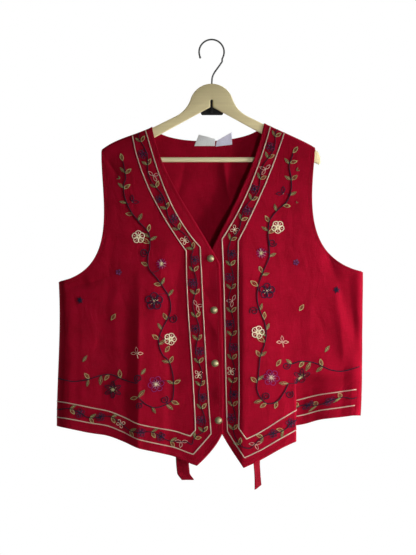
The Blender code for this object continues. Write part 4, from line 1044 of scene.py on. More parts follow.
# Chest motifs in millimetres: kind, x, z, radius, turn in degrees
RIGHT_FLOWERS = (
    (Flower.SHOOT, -186, -283, 5.5, 150), (Flower.BELL, -162, -330, 12, 0),
    (Flower.ROSE, -149, -401, 13, 20), (Flower.SPIRAL, -137, -433, 6.5, 60),
    (Flower.DAISY, -102, -456, 11, 0), (Flower.BLUE, -117, -532, 18, 0),
    (Flower.SPIRAL, -79, -568, 7, 200), (Flower.ROSE, -84, -609, 12.5, 70),
    (Flower.VIOLET, -113, -701, 16, 10), (Flower.SPIRAL, -96, -734, 6.5, 200),
    (Flower.SPIRAL, -146, -744, 5.5, 0), (Flower.SPIRAL, -149, -689, 6.5, 20),
    (Flower.STAR, -201, -713, 17, 0), (Flower.CROSS, -152, -638, 10.5, 0),
    (Flower.DOT, -189, -473, 6.5, 0), (Flower.TWINKLE, -268, -530, 7.5, 0),
)
LEFT_FLOWERS = (
    (Flower.SHOOT, 172, -266, 5.5, 30), (Flower.BELL, 146, -313, 12, 90),
    (Flower.ROSE, 135, -381, 13, -20), (Flower.SPIRAL, 124, -413, 6.5, 120),
    (Flower.DAISY, 101, -434, 11, 0), (Flower.BLUE, 113, -511, 16, 0),
    (Flower.SPIRAL, 86, -552, 7, -20), (Flower.ROSE, 94, -595, 13, -70),
    (Flower.VIOLET, 121, -687, 16, -10), (Flower.SPIRAL, 111, -725, 6.5, -20),
    (Flower.SPIRAL, 158, -721, 6.5, 180), (Flower.SPIRAL, 152, -663, 6.5, 160),
    (Flower.STAR, 181, -687, 17, 0), (Flower.CROSS, 144, -615, 10.5, 0),
    (Flower.DOT, 172, -453, 6.5, 0), (Flower.TWINKLE, 254, -509, 7.5, 0),
    (Flower.SHOOT, 172, -332, 3.0, 40),
)
CHESTS = {"right": (RIGHT_VINE, RIGHT_BRANCH, RIGHT_LEAVES, RIGHT_FLOWERS),
          "left": (LEFT_VINE, LEFT_BRANCH, LEFT_LEAVES, LEFT_FLOWERS)}


def turned(points: Array, degrees: float, middle: Place) -> Array:
    """Points turned about the origin and moved to a middle."""
    angle = math.radians(degrees)
    turn = np.array(((math.cos(angle), math.sin(angle)), (-math.sin(angle), math.cos(angle))))
    return points @ turn + np.asarray(middle)


def petal(length: float, width: float, start: float = 0.0, round_tip: float = 1.0,
          point: float = 0.8) -> Array:
    """A closed petal outline: its half width is a power of the sine of its share of length.

    Args:
        length: from its start to its tip.
        width: across its widest place.
        start: how far its base is from the middle.
        round_tip: the power of the share, under 1 for a full base and over 1 for a full tip.
        point: the power of the sine, over 1 for pointed ends.
    Returns:
        Points from the base, out along one edge and back along the other.
    """
    share = shares_of(11)
    half = width / 2 * np.clip(np.sin(math.pi * share ** round_tip), 0, None) ** point
    out = joined(start + length * share, half)
    home = joined(start + length * share[::-1], -half[::-1])
    return np.vstack((out, home[1:]))


def satin(length: float, width: float, start: float, passes: int, round_tip: float = 1.0) -> Array:
    """A zigzag that fills a petal, its turns at the petal's edges."""
    share = np.linspace(0.08, 0.94, passes)
    half = width / 2 * 0.82 * np.sin(math.pi * share ** round_tip) ** 0.8
    side = np.where(np.arange(passes) % 2 == 0, 1.0, -1.0)
    return joined(start + length * share, half * side)


class Embroiderer:
    """Draws leaves, flowers, vines and bands on one front as threads."""

    def __init__(self, work: ThreadWork, to_cloth: Callable[[Array], Array]) -> None:
        """Keeps where the threads go and how seen places become places across the cloth."""
        self.work = work
        self.to_cloth = to_cloth
        self.vine = 1.12 * MM

    def draw(self, colour: str, points: Array, degrees: float, middle: Place,
             radius: float = 0.5 * MM, closed: bool = False) -> None:
        """Adds one stroke, turned and moved to its place."""
        self.work.add(colour, turned(points, degrees, middle), radius, closed)

    def leaf(self, base: Place, degrees: float, length: float, kind: Leaf) -> None:
        """A leaf: an open outline with a vein, or one filled with satin stitches.

        Args:
            base: the place of its stalk end.
            degrees: the way in which it points.
            length: from its base to its tip.
            kind: open, filled or bright.
        """
        length *= 1.12
        width = length * 0.42
        vein = np.array(((0.08, 0.0), (0.62, 0.0))) * length
        if kind is Leaf.BRIGHT:
            self.draw("green", satin(length, width, 0, 8), degrees, base, 0.62 * MM)
        elif kind is Leaf.FILLED:
            self.draw("moss", petal(length, width * 0.8, point=1.25), degrees, base, 0.6 * MM, True)
            self.draw("moss", satin(length, width * 0.55, 0, 7), degrees, base, 0.56 * MM)
            self.draw("leaf", vein * 1.1, degrees, base, 0.62 * MM)
        else:
            self.draw("leaf", petal(length, width, point=1.15), degrees, base, 0.66 * MM, True)
            self.draw("moss", satin(length * 0.86, width * 0.45, 0.8 * MM, 6), degrees, base, 0.46 * MM)

    def petals(self, colour: str, count: int, length: float, width: float, start: float, middle: Place,
               degrees: float, radius: float, round_tip: float = 1.7, fill: Optional[str] = None) -> None:
        """A ring of outlined petals, filled if a fill colour is named."""
        for k in range(count):
            turn = degrees + 360 * k / count
            if fill:
                self.draw(fill, satin(length, width, start, 8, round_tip), turn, middle, 0.5 * MM)
            self.draw(colour, petal(length, width, start, round_tip), turn, middle, radius, True)

    def rays(self, colour: str, count: int, start: float, end: float, middle: Place,
             degrees: float, radius: float = 0.45 * MM) -> None:
        """Straight stitches that stand round a middle."""
        for k in range(count):
            self.draw(colour, np.array(((start, 0.0), (end, 0.0))), degrees + 360 * k / count,
                      middle, radius)

    def knot(self, colour: str, middle: Place, radius: float = 0.9 * MM) -> None:
        """A round knot, as a very short thick stitch."""
        self.draw(colour, np.array(((-0.4, 0), (0.4, 0))) * MM, 0, middle, radius)

    def spiral(self, middle: Place, size: float, degrees: float) -> None:
        """A curl of one and a half turns whose radius grows with its angle, and its tail."""
        turn = np.linspace(0.9, 3.3 * math.pi, 26)
        reach = size * (turn / turn[-1]) ** 0.8
        self.draw("vine", joined(reach * np.cos(turn), reach * np.sin(turn)), degrees, middle, 1.0 * MM)

    def worked(self, rows: tuple, middle: Array, size: float, degrees: float) -> None:
        """Works a motif's rows: petals, rays or a knot, by how many values a row has.

        Args:
            rows: as in WORKED.
            middle: the motif's place.
            size: what the rows' lengths are multiplied by.
            degrees: its turn.
        """
        for colour, *values in rows:
            if len(values) == 1:
                self.knot(colour, middle, values[0] * MM)
            elif len(values) == 5:
                count, start, end, turn, radius = values
                self.rays(colour, count, size * start, size * end, middle, degrees + turn, radius * MM)
            else:
                count, length, width, start, turn, radius, *rest = values
                self.petals(colour, count, size * length, size * width, size * start, middle,
                            degrees + turn, radius * MM, *rest)

    def flower(self, kind: Flower, middle: Array, size: float, degrees: float) -> None:
        """Draws one chest motif.

        Args:
            kind: which motif.
            middle: its place.
            size: its radius.
            degrees: its turn.
        """
        if kind in WORKED:
            self.worked(WORKED[kind], middle, size, degrees)
        elif kind is Flower.BELL:
            for turn in (degrees, degrees + 90):
                self.draw("navy", petal(size * 1.12, size * 0.54, 1.2 * MM, point=1.1), turn, middle,
                          0.78 * MM, True)
            self.knot("cream", middle, 1.2 * MM)
        elif kind is Flower.SPIRAL:
            self.spiral(middle, size * 1.3, degrees)
        elif kind is Flower.CROSS:
            for colour, turn, reach in (("cream", 0, 1.15), ("cream", 180, 1.1), ("pink", 95, 1.2)):
                loop = petal(size * reach, size * 0.5, size * 0.08, point=1.25)
                self.draw(colour, loop, degrees + turn, middle, 0.45 * MM, True)
            self.rays("cream", 1, size * 0.1, size, middle, degrees - 75, 0.5 * MM)
            self.knot("pink", middle, 0.9 * MM)
        else:
            for turn in (degrees - 28, degrees + 28):
                self.leaf(middle, turn, size * 1.35, Leaf.BRIGHT)

    def chest(self, vine: Array, branch: Array, leaves: Array, flowers: tuple) -> None:
        """The chest's vine and branch, the leaves that grow from them and the strewn flowers."""
        stems = [self.to_cloth(rounded_line(table)) for table in (vine, branch)]
        for line in stems:
            self.work.add("vine", line, self.vine)
        stem = np.vstack(stems)
        run = np.vstack([unit(np.gradient(line, axis=0)) for line in stems])
        for k, place in enumerate(self.to_cloth(leaves)):
            nearest, off, away = self.nearest(stem, place)
            kind = Leaf(k % 2)
            if away > 14 * MM:
                self.leaf(place - 5.5 * MM, 55, 14 * MM, kind)
                continue
            base = stem[nearest] if away > 2 * MM else place
            way = unit(off * 1.25 - run[nearest] * 5 * MM)
            length = float(np.clip(away * 1.95, 14.0 * MM, 18.5 * MM))
            self.leaf(base, math.degrees(math.atan2(way[1], way[0])), length, kind)
        for kind, x, z, size, degrees in flowers:
            middle = self.to_cloth(mm((x, z)))[0]
            nearest, off, away = self.nearest(stem, middle)
            if kind not in LONE and size * 0.4 * MM < away < 40 * MM:
                bend = (stem[nearest] + middle) / 2 + np.array((off[1], -off[0])) * 0.2
                edge = middle - off / away * size * 0.5 * MM
                self.work.add("vine", rounded_line((stem[nearest], bend, edge)), 0.66 * MM)
            self.flower(kind, middle, size * MM, degrees)

    def nearest(self, stem: Array, place: Array) -> tuple[int, Array, float]:
        """The stem's point nearest to a place, the way from there to the place, and how far it is."""
        off = place - stem
        nearest = int(np.argmin(np.linalg.norm(off, axis=1)))
        return nearest, off[nearest], float(np.linalg.norm(off[nearest]))

    def band_motif(self, motif: Motif, middle: Array, degrees: float) -> None:
        """Draws one step of a band, with its leaves opening back along the run."""
        if motif in WORKED:
            self.worked(WORKED[motif], middle, MM, degrees)
        elif motif is Motif.LEAVES:
            for turn, kind in ((-42, Leaf.OPEN), (42, Leaf.FILLED)):
                self.leaf(middle, degrees + 180 + turn, 13.0 * MM, kind)
        elif motif is Motif.PINK:
            side = math.copysign(1.0, middle[0])
            for turn, reach in ((-25, 12.8), (90, 12.6), (168, 13.2)):
                loop = petal(reach * MM, 5.6 * MM, 0.4 * MM, 1.0, 1.1)
                self.draw("pink", loop, degrees + 180 + turn * side, middle, 0.56 * MM, True)
            self.knot("cream", middle, 0.9 * MM)
        else:
            for turn, reach in ((35, 8.8), (118, 9.6), (212, 9.2), (318, 8.4)):
                loop = petal(reach * MM, 5.4 * MM, 0.4 * MM, 1.4, 0.9)
                self.draw("cream", loop, degrees + turn, middle, 0.48 * MM, True)

    def band(self, runs: Sequence[tuple[Array, str, float, float]], sway: float = 5.2 * MM) -> None:
        """A swaying vine down the band's middle with a motif at each step.

        The vine's place across the band is the sine of a quarter turn for each step, so it passes
        leaves in the middle and flowers on one side, and each flower stands on the other.

        Args:
            runs: for each stretch its middle line in cloth places, its letters, and the shares of
                the stretch at which the first and the last letter stand.
            sway: how far the vine swings to each side.
        """
        step = 0
        lines = []
        for line, letters, first, last in runs:
            length = travelled(line)
            if not letters:
                lines.append(line)
                continue
            spots = np.linspace(first, last, len(letters))
            numbers = step + np.arange(len(letters))
            pace = (last - first) / max(1, len(letters) - 1) or 1.0
            share = length / length[-1]
            phase = np.interp(share, spots, numbers)
            phase += np.clip(share - spots[-1], 0, None) / pace - np.clip(spots[0] - share, 0, None) / pace
            run = unit(np.gradient(line, axis=0))
            aside = leftward(run)
            ease = smooth(length / 0.012) * smooth((length[-1] - length) / 0.012)
            lines.append(line + aside * (sway * ease * np.sin(phase * math.pi / 2))[:, None])
            for number, letter, spot in zip(numbers, letters, spots):
                middle, way, out = (np.array([np.interp(spot, share, v[:, j]) for j in (0, 1)])
                                    for v in (line, run, aside))
                swing = math.sin(number * math.pi / 2)
                side = -0.55 * swing if letter != "l" else swing
                self.band_motif(Motif(letter), middle + out * sway * side,
                                math.degrees(math.atan2(way[1], way[0])))
            step += len(letters)
        whole = np.vstack(lines)
        steps = np.r_[True, np.linalg.norm(np.diff(whole, axis=0), axis=1) > 1e-5]
        self.work.add("vine", rounded_line(resampled(whole[steps], 7 * MM)), self.vine * 0.85)


@dataclass
class ClothPanel:
    """One of the vest's three panels: its grid of places, its wall and its sewing."""

    node: str
    placement: Placement
    facing_back: bool = False
    groove: float = 0.3 * MM
    groove_reach: float = 2.6 * MM
    low_rows: Array = field(default_factory=lambda: shares_of(96))
    high_rows: Array = field(default_factory=lambda: 1 - (1 - shares_of(106)) ** 1.7)
    grid: Array = field(default_factory=lambda: np.zeros((0, 0, 3)))

    def side_rows(self, low: Array, high: Array) -> Array:
        """One side of a panel: a low curve up to the turn, then a high one."""
        return np.vstack((along(low, self.low_rows), along(high, self.high_rows)[1:]))

    def patch(self, bottom: Array, top: Array, left: Array, right: Array, across: Array) -> Array:
        """The grid that four sides span: the blend across plus the blend up, less the corners' own."""
        u = np.asarray(across)[None, :, None]
        v = np.r_[self.low_rows * 0.5, 0.5 + self.high_rows[1:] * 0.5][:, None, None]
        sides = (1 - u) * left[:, None] + u * right[:, None]
        ends = (1 - v) * bottom[None] + v * top[None]
        low_corners = (1 - u) * bottom[0] + u * bottom[-1]
        top_corners = (1 - u) * top[0] + u * top[-1]
        return sides + ends - (1 - v) * low_corners - v * top_corners

    def seam_frames(self, z: Array, x: Array, sign: int) -> tuple[Array, Array]:
        """Along a side seam: the direction from back to front and the outward normal, both level."""
        left = float(sign > 0)
        turn = np.arccos(np.clip(1 - left * FORM.wrap(z) / FORM.roll, -1, 1))
        depth = FORM.front_out(x, z) - left * FORM.fold_depth(x, z)
        forward = unit(joined(-sign * FORM.roll * np.sin(turn), -depth * np.cos(turn), 0 * z))
        outward = joined(-sign * forward[:, 1], sign * forward[:, 0], 0 * z)
        return forward, outward

    def build(self, plan: Array, sides: Sequence[tuple[int, int]], shoulders: Sequence[slice],
              stitch_lines: Sequence[Array], finish: Material) -> Piece:
        """Works the surface out over the plan, squares its seams, sinks its stitch lines and walls it.

        Args:
            plan: places across and up, for each row and column.
            sides: columns on a side seam, and which side each is on.
            shoulders: the columns of each shoulder seam along the top row.
            stitch_lines: seen lines that topstitching draws in.
            finish: the cloth.
        Returns:
            The wall's object.
        """
        self.grid = self.placement.surface(plan[..., 0], plan[..., 1])
        facing = -1.0 if self.facing_back else 1.0
        normals = facing * grid_normals(self.grid)
        rows = len(self.low_rows)
        for column, sign in sides:
            forward, outward = self.seam_frames(plan[:rows, column, 1], self.grid[:rows, column, 0], sign)
            self.grid[:rows, column] += forward * FORM.seam_gap / 2 * facing
            normals[:rows, column] = outward
        for span in shoulders:
            seam = np.gradient(self.grid[-1, span], axis=0)
            normals[-1, span] = unit(joined(-seam[:, 2], 0 * seam[:, 0], seam[:, 0]))
        sunk = np.zeros(plan.shape[:2])
        for line in stitch_lines:
            off = distance_to(resampled(line, 1.5 * MM), self.grid[..., 0], self.grid[..., 2])
            sunk = np.maximum(sunk, np.exp(-(off / self.groove_reach) ** 2))
        self.grid = self.grid - normals * (sunk * self.groove)[..., None]
        return sheet_mesh(f"{self.node}_cloth", self.grid, normals, plan, FORM.cloth, finish)


class Vest:
    """The vest: three panels, their cords and embroidery, buttons, ties and labels."""

    def __init__(self) -> None:
        """Makes the finishes and the placements that every piece shares."""
        self.cloth = CRIMSON.material()
        self.tie_painted_shade_cloth = SHADED_CRIMSON.material()
        self.areas: dict[str, float] = {}
        self.sewing = SEWING.material()
        self.cord_finish = CORD.material()
        self.thread = {name: finish.material() for name, finish in THREADS.items()}
        self.right = Placement(FORM.right_front)
        self.left = Placement(FORM.left_front)
        self.behind = Placement(FORM.back, True)
        self.made: dict[str, list[Piece]] = {"right": [], "left": [], "back": []}

    def sewn_lines(self, *edges: tuple[Array, float]) -> list[Array]:
        """Lines of topstitching inside edges, each so many millimetres left of its edge's run."""
        return [inset(along(edge, np.linspace(0.004, 0.996, 200)), distance * MM)
                for edge, distance in edges]

    def sew(self, side: str, panel: ClothPanel, plan: Array, sides: Sequence[tuple[int, int]],
            spans: Sequence[slice], lines: list[Array], seams: Sequence[Array] = (),
            to_cloth: Callable[[Array], Array] = lambda v: v) -> None:
        """Builds a panel and its topstitching, and keeps the panel's area.

        Args:
            side: right, left or back.
            panel: the panel.
            plan: places across and up, for each row and column.
            sides: columns on a side seam, and which side each is on.
            spans: the columns of each shoulder seam along the top row.
            lines: the topstitched lines, as seen.
            seams: more lines that the cloth is drawn in along, with no stitches.
            to_cloth: turns seen places into places across the cloth.
        """
        obj = panel.build(plan, sides, spans, [*lines, *seams], self.cloth)
        finish_piece(obj, "crimson_cloth", panel.node)
        work = ThreadWork(panel.placement, 1.3 * MM, 4)
        strokes = [s for line in lines for s in dashes(to_cloth(line), 2.5 * MM, 0.7 * MM)]
        stitches = work.lay(f"{panel.node}_stitching", strokes, self.sewing, -0.12 * MM)
        finish_piece(stitches, "crimson_cloth")
        self.made[side] += [obj, stitches]
        self.areas[side] = grid_area(panel.grid)

    def side_steps(self, count: int) -> Array:
        """Steps that close up towards a side seam, in metres from it."""
        return FORM.roll * 1.15 * shares_of(count) ** 1.5

    def right_front(self) -> None:
        """The right front, laid over the left one."""
        width, tip = 0.338, 0.846
        side = self.side_steps(10) / width
        across = np.unique(np.round(np.r_[side, np.linspace(side[-1], 1, 116)], 6))
        hem = across < tip
        bottom = np.vstack((along(RIGHT_HEM, across[hem] / tip),
                            along(RIGHT_TIP_RISE, (across[~hem] - tip) / (1 - tip))))
        bottom[hem.sum()] = RIGHT_HEM[-1]
        panel = ClothPanel("right_front", self.right)
        plan = panel.patch(bottom, along(RIGHT_SHOULDER, across),
                           panel.side_rows(RIGHT_SIDE, RIGHT_ARMHOLE),
                           panel.side_rows(RIGHT_EDGE, RIGHT_NECK), across)
        lines = self.sewn_lines((RIGHT_NECK, 7), (RIGHT_EDGE, 7), (RIGHT_ARMHOLE[::-1], 6),
                                (RIGHT_HEM, 7), (RIGHT_TIP_RISE, 7))
        seam = along(RIGHT_SIDE, shares_of(200))
        self.sew("right", panel, plan, ((0, -1),), (slice(0, None),), lines, (seam,))

    def left_front(self) -> None:
        """The left front: the part before the deep fold, the folded strip and the rest."""
        panel = ClothPanel("left_front", self.left)
        before, tip = shares_of(58), 0.34
        rise = before < tip
        bottom = np.vstack((along(LEFT_TIP_RISE, before[rise] / tip),
                            along(LEFT_HEM, (before[~rise] - tip) / (1 - tip))))
        bottom[rise.sum()] = LEFT_HEM[0]
        ends = (FORM.fold_x, FORM.fold_x + FORM.fold_strip)
        levels = []
        for x, hem_z, turn_z in zip(ends, (LEFT_HEM[-1][1], LEFT_HEM_BEHIND[0][1]), (-0.462, -0.464)):
            top_z = float(FORM.shoulder_height(np.array(x)))
            low = hem_z + (turn_z - hem_z) * panel.low_rows
            levels.append(np.r_[low, (turn_z + (top_z - turn_z) * panel.high_rows)[1:]])
        shoulder = along(LEFT_SHOULDER, shares_of(400))
        steps = np.r_[self.side_steps(10) / 0.121, np.linspace(0.133, 1, 46)]
        rest = 1 - np.unique(np.round(steps, 6))[::-1]
        tops = []
        for first, last, shares in ((LEFT_SHOULDER[0][0], ends[0], before),
                                    (ends[1], LEFT_SHOULDER[-1][0], rest)):
            x = first + (last - first) * shares
            tops.append(joined(x, np.interp(x, shoulder[:, 0], shoulder[:, 1])))
        fold_side = joined(np.full_like(levels[0], FORM.fold_x), levels[0])
        near = panel.patch(bottom, tops[0], panel.side_rows(LEFT_EDGE, LEFT_NECK), fold_side, before)
        strip = shares_of(46)
        strip_z = levels[0][:, None] + (levels[1] - levels[0])[:, None] * strip
        strip_p = FORM.fold_x + strip * FORM.fold_length(strip_z)
        far_x = FORM.fold_x + FORM.fold_section(np.ones_like(levels[1]), levels[1])[0]
        behind = along(LEFT_HEM_BEHIND, rest)
        behind[:, 0] += (far_x[0] - LEFT_HEM_BEHIND[0][0]) * (1 - rest)
        far = panel.patch(behind, tops[1], joined(far_x, levels[1]),
                          panel.side_rows(LEFT_SIDE, LEFT_ARMHOLE), rest)
        far_p = far[..., 0] + FORM.swallowed(far[..., 1])
        plan = joined(np.hstack((near[..., 0], strip_p[:, 1:], far_p[:, 1:])),
                      np.hstack((near[..., 1], strip_z[:, 1:], far[:, 1:, 1])))
        lines = self.sewn_lines((LEFT_NECK[::-1], 7), (LEFT_EDGE[::-1], 7), (LEFT_ARMHOLE, 6),
                                (LEFT_TIP_RISE, 7), (LEFT_HEM, 7), (LEFT_HEM_BEHIND, 7))
        seam = along(LEFT_SIDE, shares_of(200))
        self.sew("left", panel, plan, ((-1, 1),), (slice(0, None),), lines, (seam,), FORM.left_place)

    def back(self) -> None:
        """The back, whose low left side wraps forward."""
        panel = ClothPanel("back", self.behind, True)
        low_right = along(LEFT_SIDE, panel.low_rows)
        turn = np.arccos(1 - FORM.wrap(low_right[:, 1]) / FORM.roll)
        low_right[:, 0] = FORM.right_limit(low_right[:, 1]) + FORM.roll * turn
        left = panel.side_rows(RIGHT_SIDE, RIGHT_ARMHOLE)
        right = np.vstack((low_right, along(LEFT_ARMHOLE, panel.high_rows)[1:]))
        start, end = 0.25, 0.75
        side = self.side_steps(9) / (right[0, 0] - left[0, 0])
        ease = np.array((0.004, 0.012, 0.03, 0.06, 0.1)) * (end - start)
        across = np.unique(np.round(np.r_[
            side, np.linspace(side[-1], start, 30), start + ease,
            np.linspace(start + 0.07, end - 0.07, 56), end - ease,
            np.linspace(end, 1 - side[-1], 30), 1 - side], 6))
        first, last = across <= start, across >= end
        neck = ~first & ~last
        top = np.vstack((along(RIGHT_SHOULDER, across[first] / start),
                         along(BACK_NECK, (across[neck] - start) / (end - start)),
                         along(LEFT_SHOULDER, (across[last] - end) / (1 - end))))
        bottom = along(BACK_HEM, across)
        bottom[:, 0] += (right[0, 0] - BACK_HEM[-1][0]) * across ** 4
        plan = panel.patch(bottom, top, left, right, across)
        spans = (slice(0, int(first.sum())), slice(int((first | neck).sum()), None))
        lines = self.sewn_lines((BACK_NECK[::-1], 7), (RIGHT_ARMHOLE[::-1], 6), (LEFT_ARMHOLE, 6),
                                (BACK_HEM, 9))
        self.sew("back", panel, plan, ((0, -1), (-1, 1)), spans, lines)

    def cord(self, name: str, line: Array, placement: Placement, nodes: Sequence[str],
             width: float = 2.1 * MM, height: float = 1.0 * MM) -> Piece:
        """A plaited cord: a flat ellipse whose top dips in a narrow bell, carried along the cloth."""
        places = resampled(line, 1.6 * MM)
        base, normal = placement.at(places)
        angles = around(12)
        across = width / 2 * np.cos(angles)
        up = np.clip(np.sin(angles), -0.25, None) * height + 0.25 * height
        up -= 0.28 * height * np.exp(-(across / (width * 0.16)) ** 2) * (np.sin(angles) > 0)
        aside = unit(np.cross(unit(np.gradient(base, axis=0)), normal))
        rings = rings_along(base, aside, normal, joined(across, up))
        uv = joined(travelled(places)[:, None], angles / (2 * math.pi))
        last = (len(places) - 1) * 12
        caps = np.array((np.arange(12), np.arange(last + 11, last - 1, -1)))
        obj = make_object(name, rings, [ring_faces(len(places), 12)[:, ::-1], caps], self.cord_finish, uv)
        finish_piece(obj, "cream_cord", *nodes)
        return obj

    def cord_lines(self) -> dict[str, list[Array]]:
        """Each cord's stretches in cloth places: neck, edge, tip, hem, and past the fold."""
        shares = shares_of(160)
        lines = {}
        for name, (curves, behind) in CORDS.items():
            parts = [along(curve, shares) for curve in curves]
            top = parts[0]
            seam = float(FORM.shoulder_height(top[:1, 0])[0]) - 1.4 * MM
            reach = (seam - top[0, 1]) / (top[0, 1] - top[1, 1])
            parts[0] = np.vstack((top[0] + (top[0] - top[1]) * reach, top))
            if behind is not None:
                far, near = FORM.left_place(along(behind, shares)), parts[-1][-1]
                bridge = (near, near + (0.009, 0.0045), far[0] - (0.009, 0.003), far[0])
                parts += [rounded_line(bridge), far]
            lines[name] = parts
        return lines

    def trims(self) -> None:
        """The four cream cords and the embroidered bands between them."""
        lines = self.cord_lines()
        for name, parts in lines.items():
            side, where = name.split("_")
            nodes = [f"{side}_cord_{where}"]
            if side == "left":
                nodes.append(nodes[0] + "_behind")
            placement = self.right if side == "right" else self.left
            self.made[side].append(self.cord(f"{name}_braid", np.vstack(parts), placement, nodes))
        for side, placement, to_cloth in (("right", self.right, lambda v: v),
                                          ("left", self.left, FORM.left_place)):
            work = ThreadWork(placement)
            hand = Embroiderer(work, to_cloth)
            middles = [(even(a) + even(b)) / 2
                       for a, b in zip(lines[side + "_outer"], lines[side + "_inner"])]
            hand.band([(line, *row) for line, row in zip(middles, BANDS[side])])
            hand.chest(*CHESTS[side])
            for obj in work.build(side, self.thread):
                finish_piece(obj, "crimson_cloth")
                self.made[side].append(obj)

    def buttons(self) -> None:
        """Domed buttons with a beaded rim, a groove and a shallow crown.

        The profile runs out along the foot, over the rim's bead and up the dome; rings of it are
        turned about a line along -Y.
        """
        finish = BRASS.material()
        angles = around(48)
        count = len(BUTTON_PROFILE)
        caps = np.array((np.arange(47, -1, -1), (count - 1) * 48 + np.arange(48)))
        uv = joined(shares_of(count)[:, None], angles / (2 * math.pi))
        for number in range(1, 5):
            low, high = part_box(f"button_{number}")
            radius, depth = (high.x - low.x) / 2, high.y - low.y
            x, z = (low.x + high.x) / 2, (low.z + high.z) / 2
            under = FORM.right_front(x + radius * np.cos(angles), z + radius * np.sin(angles))
            middle = np.array((x, under[:, 1].min() + 0.3 * MM, z))
            reach = radius * BUTTON_PROFILE[:, 0, None]
            forward = np.broadcast_to(depth * BUTTON_PROFILE[:, 1, None], (count, 48))
            points = joined(reach * np.cos(angles), -forward, reach * np.sin(angles))
            obj = make_object(f"brass_button_{number}", points + middle,
                              [ring_faces(count, 48), caps], finish, uv)
            finish_piece(obj, "antique_brass", f"button_{number}")
            self.made["right"].append(obj)

    def tie(self, name: str, rows: Array, slant: float = 0.0, width: float = 0.025,
            thickness: float = 1.5 * MM) -> None:
        """A flat tube of cloth sewn to the back, with a soft bow across it.

        Its free end is cut aslant: the height changes by the slant across the width, eased in above.
        """
        z = np.linspace(rows[0, 0], rows[-1, 0], 110)
        x, off, twist = (np.interp(-z, -rows[:, 0], rows[:, k]) for k in (1, 2, 3))
        on_back = np.maximum(z, BACK_HEM[0][1] + 8 * MM)
        reach = np.linspace(-0.5, 0.5, 5)[:, None] * width
        behind = FORM.back(x + reach, np.broadcast_to(on_back, (5, len(z))))[..., 1].max(0)
        middle = behind + 0.48 * MM + thickness / 2 + off
        share = np.linspace(-0.5, 0.5, 13)[None, :, None]
        cos, sin = np.cos(np.radians(twist)), np.sin(np.radians(twist))
        wide, thick, centre = (np.stack(v, -1)[:, None] for v in (
            (cos, sin, 0 * z), (-sin, cos, 0 * z), (x, middle, z)))
        hang = smooth((-0.8 - z) / 0.05)[:, None, None]
        bow = hang * 0.5 * MM * np.sin(share * math.pi * 2 + z[:, None, None] * 90)
        grid = centre + wide * width * share + thick * (thickness / 2 + bow)
        grid[..., 2] += slant * share[..., 0] * smooth((z[-1] + 0.03 - z) / 0.03)[:, None]
        grid = grid[::-1]
        places = joined(x[0] + share[..., 0] * width, z[:, None])[::-1]
        # The strip takes the darker copy of the crimson, whose colour has the shade painted in.
        obj = sheet_mesh(f"{name}_strip", grid, -grid_normals(grid), places, thickness, self.tie_painted_shade_cloth)
        finish_piece(obj, "crimson_cloth", name)

    def label(self, name: str, node: str, corners: Array, finish: ClothFinish) -> None:
        """A blank ribbon: its corners blended across and up, with a soft curl along its top."""
        low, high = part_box(node)
        u = shares_of(24)[None, :, None]
        v = shares_of(20)[:, None, None]
        a, b, c, d = corners
        flat = (1 - v) * ((1 - u) * a + u * b) + v * ((1 - u) * d + u * c)
        curl = 1.2 * MM * v[..., 0] ** 2 * np.sin(math.pi * u[..., 0] * 1.3)
        grid = joined(flat[..., 0], low.y - curl, flat[..., 1])
        obj = sheet_mesh(name, grid, grid_normals(grid), flat, (high.y - low.y) * 0.75, finish.material())
        finish_piece(obj, "white_ribbon", node)
        self.made["back"].append(obj)

    def declare(self) -> None:
        """Logs each panel's hung area beside the area of its whole cut."""
        for side, flat in CUTS.items():
            LOG.info("%s: %.4f of %.4f square metres", side, self.areas[side], flat[0] * flat[1])

    def build(self) -> None:
        """Builds the vest in order."""
        self.right_front()
        self.left_front()
        self.back()
        self.trims()
        self.buttons()
        self.tie("tie_right", TIE_RIGHT)
        self.tie("tie_left", TIE_LEFT, 8 * MM)
        self.label("neck_ribbon", "neck_label", NECK_LABEL, WHITE_RIBBON)
        self.label("care_ribbon", "care_label", CARE_LABEL, LILAC_RIBBON)


